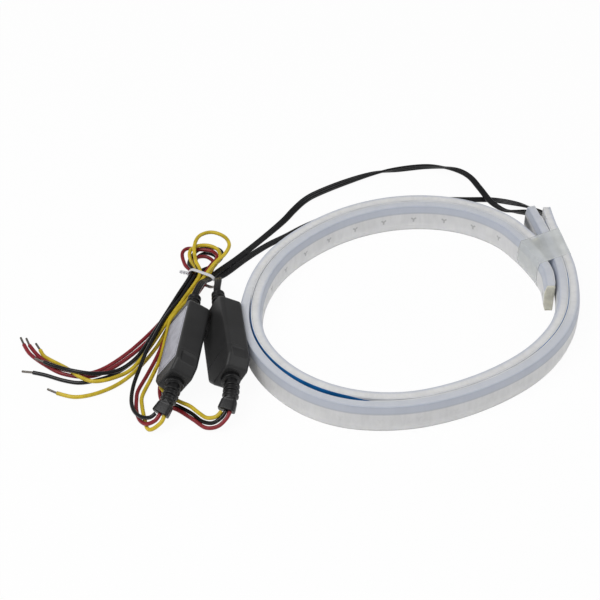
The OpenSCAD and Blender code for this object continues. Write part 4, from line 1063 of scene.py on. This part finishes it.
# Each wire: its box and colour, its place in the flared block, its route and the tip of its bare end
WIRES = {
    (1, "black"): (1, [
        [-61.6, -78.1, 5.6], [-65.4, -76, 3.9], [-68.6, -71.5, 2.7], [-70.3, -64.8, 1.9],
        [-70.1, -55.5, 1.64], [-68.1, -46.4, 2.73], [-65.7, -38.3, 4.91], [-62.8, -29.2, 5.2],
        [-58.5, -16.5, 5.26], [-52.7, -3.6, 4.93], [-46.5, 11.5, 5.36], [-40.1, 18.5, 3.97],
        [-36, 24.4, 3.57], [-36.3, 30, 3.29], [-41.1, 32.6, 3.19], [-46.3, 31.1, 3.14],
        [-49.5, 25.7, 3.56], [-50.4, 19.4, 4.56], [-48.7, 12.3, 5.59], [-54.4, -2.6, 4.88],
        [-59.7, -15.6, 3.93], [-65.6, -30.1, 2.91], [-70, -40.1, 2.82], [-77, -47.5, 2.74],
        [-86, -50.2, 3.38], [-95, -49.8, 4.4], [-104, -45.6, 3.3], [-109, -42.9, 3.1],
    ], [-113, -40.9, 3.1]),
    (1, "red"): (0, [
        [-59.3, -79.5, 5.2], [-63.2, -78.9, 2.6], [-66.3, -74.9, 1.2], [-67.9, -69.3, 1],
        [-68.3, -63.6, 1.05], [-68, -58.2, 1.07], [-65, -49.2, 1.06], [-61.6, -38.2, 1],
        [-58.4, -26.3, 1.73], [-56.5, -17.9, 2.86], [-50.9, -5.1, 3.42], [-44.4, 9.6, 4.57],
        [-40.4, 17.1, 5.65], [-37.7, 22.8, 5.51], [-40.1, 27.5, 5.21], [-46.1, 29, 4.98],
        [-51.6, 29.9, 4.75], [-53.8, 26.6, 4.41], [-52.3, 20.2, 3.46], [-48.6, 12.6, 3.19],
        [-54.1, -2.5, 2.86], [-59.9, -15.7, 2.25], [-65.5, -27.1, 1.21], [-74, -38.6, 1.15],
        [-83, -47.1, 1.1], [-91, -49.9, 1.06], [-101, -47.9, 1.03], [-109, -42.5, 1], [-116, -36, 1],
        [-119.5, -30, 1],
    ], [-121.5, -25.5, 1]),
    (1, "yellow"): (-1, [
        [-56.6, -80.3, 5.2], [-60.4, -81.6, 2.4], [-62.7, -79.7, 1], [-64.2, -74.2, 1],
        [-65.6, -67.6, 1.05], [-66, -61.4, 1.18], [-63, -51.1, 1.35], [-59.9, -39.3, 1.6],
        [-58, -27.3, 3.39], [-56.3, -18.8, 5.33], [-49.8, -6.1, 5.45], [-42.9, 9.1, 5.97],
        [-38.5, 16.4, 7.6], [-34.2, 21, 8.9], [-32.2, 26.5, 9.84], [-34.6, 32.1, 10.03],
        [-40.5, 35.5, 9.86], [-46, 33.3, 9.54], [-48.1, 26.9, 8.86], [-47.2, 18.3, 7.68], [-45, 10, 6.34],
        [-51.3, -5, 5.41], [-57.6, -18, 4.27], [-64, -32.3, 3.01], [-71.1, -45.2, 1.83], [-78, -51.1, 2.1],
        [-86, -54.2, 2.67], [-92.4, -51.9, 2.62], [-99, -46.5, 2.8], [-106.3, -40.4, 1.5], [-110, -37, 1],
        [-112, -33.5, 1],
    ], [-114.5, -29.17, 1]),
    (2, "black"): (0, [
        [-32.3, -78.2, 5.5], [-36, -79, 3.3], [-40.4, -76.4, 1.7], [-44.8, -71.6, 1.2], [-50, -67.8, 1.22],
        [-55.3, -64.3, 1.2], [-57.3, -57.3, 1.22], [-56.1, -47.5, 1.28], [-54.8, -36.9, 1.3],
        [-54.3, -27.3, 1.67], [-54.4, -19.5, 2.33], [-51, -5.3, 1.43], [-44.6, 10.3, 1.91],
        [-40.6, 19.4, 1], [-38.1, 24.5, 1], [-39, 29.1, 1], [-43.4, 31.1, 1], [-47.1, 28, 1],
        [-47.9, 22, 1.47], [-45.7, 11.8, 3.68], [-52.4, -3.4, 2.99], [-58.4, -16.5, 2.12],
        [-64, -29.5, 1.16], [-70.5, -39.5, 1.08], [-78.5, -48, 1.03], [-86, -51.8, 1], [-93, -53.4, 1],
        [-100, -52, 1], [-108, -48.8, 1], [-113.5, -47.2, 1],
    ], [-118.5, -46.5, 1]),
    (2, "red"): (-1, [
        [-30.2, -78.6, 5.4], [-33.8, -80.7, 3], [-38.8, -79.6, 1.2], [-43.9, -75, 1], [-50.5, -69.5, 1],
        [-56.8, -65.7, 1], [-59, -57.6, 1], [-58, -47, 1], [-56.4, -35.2, 1.09], [-55.8, -24.8, 1],
        [-52.5, -16.1, 1], [-49.1, -4.9, 1.01], [-42.6, 10.3, 1.55], [-39.9, 18.1, 2.25],
        [-39.3, 22.8, 2.55], [-42.9, 26.5, 2.71], [-47.5, 25.6, 2.79], [-49.9, 21.1, 2.08],
        [-48.2, 12.7, 1.5], [-54.2, -2.3, 1], [-60.4, -14.2, 1], [-67.7, -26.3, 1], [-75.6, -36.9, 1],
        [-84.1, -45.1, 1], [-91.5, -48, 1], [-98, -46.2, 1], [-104.5, -43.8, 1], [-112, -37.5, 1],
        [-117, -30.5, 1],
    ], [-119, -26, 1]),
    (2, "yellow"): (1, [
        [-34.4, -77.8, 5.8], [-38.2, -76.9, 4.2], [-41.8, -73.4, 3.6], [-45.6, -69.6, 3.6],
        [-50.1, -66.8, 3.44], [-54.6, -63.2, 3.24], [-58.6, -57, 2.7], [-58.7, -47.4, 2.95],
        [-57.1, -36.3, 2.85], [-56.1, -26.2, 2.76], [-55.2, -18.8, 3.81], [-49.5, -6.1, 3.76],
        [-42.6, 9, 4.24], [-38.8, 16.5, 5.83], [-36.2, 21.2, 6.99], [-37.8, 26.7, 7.17],
        [-42.9, 29.4, 7.19], [-48.4, 27.8, 7.26], [-50.2, 22.8, 6.51], [-46.7, 11.3, 2.02],
        [-52.6, -3.6, 1.07], [-57.1, -17, 1], [-61.7, -30.9, 1], [-68.5, -44, 1], [-76, -53.5, 1],
        [-85, -59.5, 1], [-94, -61.8, 1], [-102, -59.5, 1],
    ], [-106.5, -57, 1]),
}


def smooth_route(points, step):
    """A curve through the points: for each stretch, the cubic whose slopes join its neighbours."""
    p = np.asarray(points, float)
    out = []
    for i in range(len(p) - 1):
        a, b, c, d = p[max(i - 1, 0)], p[i], p[i + 1], p[min(i + 2, len(p) - 1)]
        t = (np.arange(max(1, round(float(np.linalg.norm((c - b)[:3])) / step))))[:, None]
        t = t / len(t)
        out.append((2 * b + (c - a) * t + (2 * a - 5 * b + 4 * c - d) * t ** 2
                    + (3 * b - a - 3 * c + d) * t ** 3) / 2)
    return np.concatenate(out + [p[-1:]])


def cord_mesh(name, route, section, material, replaces, roll=None):
    """A section carried along a route, level side first, turned by the roll where there is one.

    The route's direction at a point is that between its neighbours. A point's place is its distance along
    the route and its part of the way round.
    """
    p = route[:, :3]
    t = np.concatenate([p[1:], p[-1:]]) - np.concatenate([p[:1], p[:-1]])
    t = t / np.linalg.norm(t, axis=1)[:, None]
    side = np.cross(t, [0.0, 0.0, 1.0])
    side = side / np.linalg.norm(side, axis=1)[:, None]
    up = np.cross(side, t)
    turn = np.zeros(len(p)) if roll is None else np.radians(roll)
    c, s = np.cos(turn)[:, None], np.sin(turn)[:, None]
    x = section[None, :, 0] * c - section[None, :, 1] * s
    y = section[None, :, 0] * s + section[None, :, 1] * c
    verts, faces = closed_loft(p[:, None] + x[..., None] * side[:, None] + y[..., None] * up[:, None])
    far = np.concatenate([[0.0], np.cumsum(np.linalg.norm(np.diff(p, axis=0), axis=1))])
    around = np.arange(len(section)) / len(section)
    place = np.stack(np.broadcast_arrays(far[:, None], around[None], 0.0), axis=-1).reshape(-1, 3)
    place = np.concatenate([place, [[0, 0, 0], [far[-1], 0, 0]]])
    return add_piece(name, to_row(verts), faces, material, replaces, place)


def lobed_section(width, height, cores=3, each=14):
    """The outline of cores side by side: on each, the part of its circle outside its neighbours."""
    r = height / 2
    pitch = (width - height) / (cores - 1)
    meet = math.acos(min(1.0, pitch / 2 / r)) * 0.8
    top = []
    for k in range(cores):
        low = meet if k < cores - 1 else 0.0
        high = math.pi - (meet if k > 0 else 0.0)
        a = np.linspace(high, low, each)[min(k, 1):]
        top.append(np.stack([(k - (cores - 1) / 2) * pitch + r * np.cos(a), r * np.sin(a)], axis=1))
    upper = np.concatenate(top)
    lower = upper[::-1] * [1, -1]
    return np.concatenate([upper, lower[1:-1]])[::-1]


WIRE_PITCH = 1.9


def relief_end(b, box, k):
    """Where wire k leaves the flared block: half the block on from the bend's end, k pitches aside."""
    bend = relief_bend()[0]
    d = on_bend(bend + 1) - on_bend(bend)
    d = d / np.linalg.norm(d)
    p = on_bend(bend) + d * RELIEF["flare_l"] / 2 + [k * WIRE_PITCH, RELIEF["flange_l"], 0]
    return from_wire_end(b, box, p)


def strip_entry(path, face, out, height, lead_height):
    """The middle of the lead where it enters the end of a strip, or a distance before it."""
    p, n = path[1][0], path[2][0]
    wall = 0.7
    q = p + face * (wall + lead_height / 2) * n + out * np.array([-n[1], n[0]])
    return [*q, height / 2]


STRANDS = 7
# Turn of the strands in radians a millimetre
TWIST = 1.1


def bare_end(name, start, tip, c, material, node):
    """Twisted strands: a round whose radius swells over each strand, turned as it goes.

    The swell is the size of the cosine of half the strands times the angle less the twist. The tip closes
    in a quarter round.
    """
    start, tip = np.asarray(start, float), np.asarray(tip, float)
    d = (tip - start) * [1, 1, 0]
    d = d / np.linalg.norm(d)
    side, up = np.array([d[1], -d[0], 0.0]), np.array([0.0, 0.0, 1.0])
    l = np.linspace(0, mm(c.bare), 40)
    v = np.arange(8 * STRANDS) * 2 * math.pi / (8 * STRANDS)
    swell = np.abs(np.cos(STRANDS / 2 * (v[None] - TWIST * l[:, None])))
    tip_l = 0.3
    close = np.sqrt(np.clip(1 - np.clip((l - mm(c.bare) + tip_l) / tip_l, 0, 1) ** 2, 0.05, 1))[:, None]
    r = mm(c.strands) / 2 * (0.8 + 0.2 * swell) * close
    rings = (start + l[:, None, None] * d
             + (r * np.cos(v))[..., None] * side + (r * np.sin(v))[..., None] * up)
    verts, faces = closed_loft(rings)
    place = np.stack(np.broadcast_arrays(l[:, None], v[None], swell), axis=-1).reshape(-1, 3)
    place = np.concatenate([place, np.zeros((2, 3))])
    return add_piece(name, to_row(verts), faces, material, [node], place)


# The tie's place in the plan, and the heading of the bundle that it goes round
TIE_AT = (-44.0, 10.3)
TIE_HEADING = 62.0


def tie_mesh(name, t, material):
    """A flat band round a stadium loop, upright across the bundle, with its two ends twisted together.

    The band's section lies square to the loop. Each end's middle line is a screw round a line that leaves
    the loop's left side and sinks.
    """
    th, wd = mm(t.thickness), mm(t.width)
    w, h = mm(t.inner_width) + th, mm(t.inner_height) + th
    straight = w - h
    v = np.linspace(-math.pi / 2, math.pi / 2, 30)
    right = np.stack([straight / 2 + h / 2 * np.cos(v), h / 2 * np.sin(v)], axis=1)
    gap = np.linspace(1, -1, 16)[1:-1, None]
    top = np.concatenate([gap * straight / 2, np.full_like(gap, h / 2)], axis=1)
    loop = np.concatenate([right, top, -right, -top])
    along = np.roll(loop, -1, axis=0) - np.roll(loop, 1, axis=0)
    along = along / np.linalg.norm(along, axis=1)[:, None]
    out = np.stack([along[:, 1], -along[:, 0]], axis=1)
    bx, by = superellipse(np.array([th / 2]), np.array([wd / 2]), np.array([3.2]), 20)
    rings = np.stack([loop[:, :1] + out[:, :1] * bx, np.broadcast_to(by, (len(loop), 20)),
                      loop[:, 1:] + out[:, 1:] * bx], axis=-1)
    verts = [rings.reshape(-1, 3)]
    faces = outward(verts[0], [ring_faces(len(loop), 20, closed_along=True)])
    count = len(verts[0])
    l = np.linspace(0, mm(t.tail), 36)
    screw_r, screw_turn, sink, clear = 0.42, 1.9, 0.17, 0.1
    sx, sy = superellipse(np.array([th / 2]), np.array([wd * 0.36]), np.array([3.0]), 16)
    for turn in (0, 1):
        a = turn * math.pi + l * screw_turn
        c, s = np.cos(a)[:, None], np.sin(a)[:, None]
        yy = screw_r * c + sx * c - sy * s
        zz = (-sink * l)[:, None] + screw_r * s + sx * s + sy * c
        xx = np.broadcast_to((-w / 2 - clear - l)[:, None], yy.shape)
        tail, skin = closed_loft(np.stack([xx, yy, zz], axis=-1))
        verts.append(tail)
        faces.extend([part + count for part in outward(tail, skin)])
        count += len(tail)
    p = np.concatenate(verts)
    p = placed(p[:, 0], p[:, 1], p[:, 2] + mm(t.inner_height) / 2 + th, TIE_AT, TIE_HEADING - 90)
    return add_piece(name, to_row(p), faces, material, ["twist_tie"])


# Operators

# The camera: its place in plan millimetres, its tilt down in degrees, and its focal length in pixels of a
# picture of this width
CAMERA_AT = (0.0, -546.2, 491.8)
CAMERA_TILT = 42.0
FOCAL_PIXELS = 1645.0
PICTURE_PIXELS = 600.0


class PieceOperator:
    """What the operators share"""

    bl_options = {"REGISTER", "UNDO"}

    @property
    def settings(self):
        """The scene's sizes and colours"""
        return bpy.context.scene.light_strips


class LIGHTSTRIP_OT_camera(PieceOperator, bpy.types.Operator):
    """Add the camera, high in front of the ring and a little to its left"""

    bl_idname = "lightstrip.camera"
    bl_label = "Camera"

    def execute(self, context):
        data = bpy.data.cameras.new("camera")
        data.sensor_width = 36.0
        data.lens = data.sensor_width * FOCAL_PIXELS / PICTURE_PIXELS
        camera = bpy.data.objects.new("camera", data)
        context.scene.collection.objects.link(camera)
        camera.location = to_row(CAMERA_AT)
        camera.rotation_euler = (math.radians(90 - CAMERA_TILT), 0.0, 0.0)
        context.scene.camera = camera
        return {"FINISHED"}


class LIGHTSTRIP_OT_cords(PieceOperator, bpy.types.Operator):
    bl_idname = "lightstrip.cords"
    bl_label = "Cords"

    def execute(self, context):
        c, b, s = self.settings.cords, self.settings.boxes, self.settings.strips
        outer, inner = strip_paths(mm(s.thickness))
        tones = {"black": sheath("black_sheath", c.black, 0.2), "red": sheath("red_sheath", c.red),
                 "yellow": sheath("yellow_sheath", c.yellow)}
        metal = tinned(c.metal)
        flat = lobed_section(mm(c.lead_width), mm(c.lead_height))
        # each lead goes on straight for a little way out of its boot and before its strip
        straight = 3.5
        boot = mm(b.length) / 2 + RELIEF["flange_l"] + RELIEF["ribs"] * RELIEF["pitch"]
        for k, box, middle, path, face in ((1, BOX_1, LEAD_1, inner, -1), (2, BOX_2, LEAD_2, outer, 1)):
            ends = [[*from_box(b, box, [0.0, boot + out, 0.0]), 0] for out in (0.0, straight)]
            entry = [[*strip_entry(path, face, out, mm(s.height), mm(c.lead_height)), 90]
                     for out in (straight, 0.0)]
            route = smooth_route(ends + middle + entry, ROUTE_STEP["lead"])
            piece = cord_mesh("flat_lead_%d" % k, route, flat, tones["black"], ["lead_%d" % k], route[:, 3])
            route = to_row(route)
        v = np.arange(c.sides) * 2 * math.pi / c.sides
        ring = np.stack([np.cos(v), np.sin(v)], axis=1) * mm(c.wire) / 2
        for (k, tone), (place, points, tip) in WIRES.items():
            start = relief_end(b, BOX_1 if k == 1 else BOX_2, place)
            route = smooth_route([start] + points, ROUTE_STEP["wire"])
            name = "%d_%s" % (k, tone)
            piece = cord_mesh("sheathed_wire_" + name, route, ring, tones[tone], ["wire_" + name])
            end = bare_end("bare_end_" + name, points[-1], tip, c, metal, "tinned_end_" + name)
            route = to_row(route)
        return {"FINISHED"}


class LIGHTSTRIP_OT_strips(PieceOperator, bpy.types.Operator):
    """Add the silicone skins of both strips with their end plugs, foam and liner"""

    bl_idname = "lightstrip.strips"
    bl_label = "Strips"

    def execute(self, context):
        s = self.settings.strips
        outline = strip_outline(s)
        glue = end_glue(s)
        film = liner_film(s)
        foam = moulded("adhesive_foam", (0.72, 0.73, 0.75), 0.8, 1500.0, 0.00005, 0.05)
        outer, inner = strip_paths(mm(s.thickness))
        height, end, plug = mm(s.height), mm(s.pad_end), 1.0
        for name, path, face, total, marks, stub_shown, lowered, shown in (
                ("outer", outer, 1, mm(s.outer_length), 0.06, 0.45, (FRONT_LEFT_SPAN,), (RIGHT_SPAN,)),
                ("inner", inner, -1, mm(s.inner_length), 0.5, 0.85, (), (RIGHT_SPAN, FRONT_LEFT_SPAN))):
            milky = silicone(name + "_silicone", s, marks, stub_shown)
            for part, span, material, node in (
                    ("_skin", (plug, total - plug), milky, "_sleeve"),
                    ("_lead_end", (0.0, plug - 0.01), milky, "_lead_plug"),
                    ("_free_end", (total - plug + 0.01, total), glue, "_end_plug")):
                strip_piece(name + part, path, face, span, outline, material, [name + node])
            pad_layer(name + "_foam", path, face, (end, total - FOAM_END), (-0.5, 0.0),
                      (FOAM_MARGIN, LOWERED, lowered), height, foam, [name + "_adhesive"])
            pad_layer(name + "_liner_film", path, face, (end, total - end), (-0.6, -0.5),
                      (LINER_HIDDEN, LINER_SHOWN, shown), height, film, [name + "_liner"])
        return {"FINISHED"}


class LIGHTSTRIP_OT_tape(PieceOperator, bpy.types.Operator):
    """Add the clear tape round the ends of both strips"""

    bl_idname = "lightstrip.tape"
    bl_label = "Clear Tape"

    def execute(self, context):
        s, t = self.settings.strips, self.settings.tape
        clear_tape_band(t, s, strip_paths(mm(s.thickness)), clear_film(t))
        return {"FINISHED"}


class LIGHTSTRIP_OT_boxes(PieceOperator, bpy.types.Operator):
    """Add the two control boxes with their strain reliefs, and the label on the left one"""

    bl_idname = "lightstrip.boxes"
    bl_label = "Control Boxes"

    def execute(self, context):
        b = self.settings.boxes
        plastic = moulded("box_plastic", b.colour, 0.46, Specular_IOR_Level=0.35)
        rubber = moulded("relief_rubber", b.rubber, 0.38, 1800.0, 0.00004, Specular_IOR_Level=0.45)
        label_sheet("blank_label", b, BOX_1, label_stock(b))
        for k, box in ((1, BOX_1), (2, BOX_2)):
            node = "box_%d_" % k
            housing("housing_%d" % k, b, box, plastic, [node + "shell", node + "cap"])
            wire_relief("wire_boot_%d" % k, b, box, rubber, [node + "wire_relief"])
            lead_relief("lead_boot_%d" % k, b, box, rubber, [node + "lead_relief"])
        return {"FINISHED"}


class LIGHTSTRIP_OT_tie(PieceOperator, bpy.types.Operator):
    """Add the coated twist tie round the bundle"""

    bl_idname = "lightstrip.tie"
    bl_label = "Twist Tie"

    def execute(self, context):
        t = self.settings.tie
        coat = moulded("tie_coating", t.colour, 0.32, 900.0, 0.00003, 0.04, Coat_Weight=0.2)
        tie_mesh("coated_tie", t, coat)
        return {"FINISHED"}


class LIGHTSTRIP_OT_inner_parts(PieceOperator, bpy.types.Operator):
    """Give the solids that stay in view or inside their materials"""

    bl_idname = "lightstrip.inner_parts"
    bl_label = "Inner Parts"

    def execute(self, context):
        dark = moulded("component_body", (0.02, 0.02, 0.022), 0.4)
        green = moulded("circuit_board", (0.02, 0.12, 0.05), 0.35, 900.0, 0.00002)
        given = {
            "board": moulded("flexible_board", (0.72, 0.72, 0.66), 0.4, 700.0, 0.00002, 0.05),
            "leds": moulded("light_body", (0.80, 0.72, 0.36), 0.3, 900.0, 0.00002, 0.08),
            "resistors": dark,
            "lead_tail": moulded("lead_inside", self.settings.cords.black, 0.4),
        }
        for strip in ("outer", "inner"):
            for part, material in given.items():
                assign(strip + "_" + part, material)
        for k in (1, 2):
            assign("box_%d_board" % k, green)
            assign("box_%d_components" % k, dark)
        return {"FINISHED"}


def assign(node, material):
    """Give a solid that is kept as it is its material."""
    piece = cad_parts[node]
    piece.data.materials.clear()
    piece.data.materials.append(material)


class LIGHTSTRIP_OT_stage(PieceOperator, bpy.types.Operator):
    """Add the pale floor, the sky and the two soft lamps"""

    bl_idname = "lightstrip.stage"
    bl_label = "Stage"

    def execute(self, context):
        g = self.settings.stage
        mesh = bpy.data.meshes.new("floor")
        half = 2.5
        mesh.from_pydata([(-half, -half, 0), (half, -half, 0), (half, half, 0), (-half, half, 0)], [],
                         [(0, 1, 2, 3)])
        floor = bpy.data.objects.new("floor", mesh)
        # just under the object, so that what stands on it doesn't flicker
        floor.location.z = -0.00005
        context.scene.collection.objects.link(floor)
        n = Finish("floor", Base_Color=g.floor, Roughness=0.9)
        rays = n.add("ShaderNodeLightPath").outputs
        seen = n.math("MAXIMUM", rays["Is Camera Ray"],
                      n.math("MAXIMUM", rays["Is Glossy Ray"], rays["Is Transmission Ray"]))
        glow = n.add("ShaderNodeEmission", Color=(1.0, 1.0, 1.0), Strength=1.0)
        both = n.add("ShaderNodeMixShader")
        for index, value in enumerate((n.product(seen, 0.95), n.shader.outputs[0], glow.outputs[0])):
            n.put(both, str(index), value)
        n.put(n.out, "Surface", both.outputs[0])
        mesh.materials.append(n.material)
        # the sky is white to the camera and even light to the object
        context.scene.world = bpy.data.worlds.new("sky")
        sky = Tree(context.scene.world)
        seen = sky.add("ShaderNodeLightPath").outputs["Is Camera Ray"]
        level = sky.add("ShaderNodeMapRange", Value=seen, To_Min=g.sky, To_Max=1.0)
        back = sky.add("ShaderNodeBackground", Strength=level.outputs[0])
        sky.add("ShaderNodeOutputWorld", Surface=back.outputs[0])
        for name, watts, size, place in (("key", g.key, 0.7, (-0.45, -0.25, 0.85)),
                                         ("fill", g.fill, 0.6, (0.75, -0.15, 0.6))):
            data = bpy.data.lights.new(name, "AREA")
            data.size = size
            data.energy = watts
            lamp = bpy.data.objects.new(name, data)
            context.scene.collection.objects.link(lamp)
            lamp.location = place
            # turned to look at the middle of the floor
            x, y, z = -np.array(place)
            lamp.rotation_euler = (math.atan2(math.hypot(x, y), -z), 0.0, math.atan2(y, x) - math.pi / 2)
        context.scene.view_settings.view_transform = "Standard"
        return {"FINISHED"}


class LIGHTSTRIP_PT_panel(bpy.types.Panel):
    """Sizes, colours and pieces of the light strips"""

    bl_idname = "LIGHTSTRIP_PT_panel"
    bl_label = "Light Strips"
    bl_space_type = "VIEW_3D"
    bl_region_type = "UI"
    bl_category = "Light Strips"

    def draw(self, context):
        settings = context.scene.light_strips
        for group, kind in SETTINGS.items():
            box = self.layout.box()
            box.label(text=group.capitalize())
            for key in kind.__annotations__:
                box.prop(getattr(settings, group), key)
        for operator in STEPS:
            self.layout.operator(operator.bl_idname)


STEPS = (LIGHTSTRIP_OT_camera, LIGHTSTRIP_OT_cords, LIGHTSTRIP_OT_strips, LIGHTSTRIP_OT_tape,
         LIGHTSTRIP_OT_boxes, LIGHTSTRIP_OT_tie, LIGHTSTRIP_OT_inner_parts, LIGHTSTRIP_OT_stage)
CLASSES = (*SETTINGS.values(), LightStripSettings, *STEPS, LIGHTSTRIP_PT_panel)


def register():
    """Register the classes and add the settings to the scene."""
    for each in CLASSES:
        bpy.utils.register_class(each)
    bpy.types.Scene.light_strips = PointerProperty(type=LightStripSettings)


def unregister():
    """Take both away again."""
    del bpy.types.Scene.light_strips
    for each in reversed(CLASSES):
        bpy.utils.unregister_class(each)


def main():
    """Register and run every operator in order."""
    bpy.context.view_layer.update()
    register()
    for operator in STEPS:
        group, name = operator.bl_idname.split(".")
        getattr(getattr(bpy.ops, group), name)()


if __name__ == "__main__":
    main()
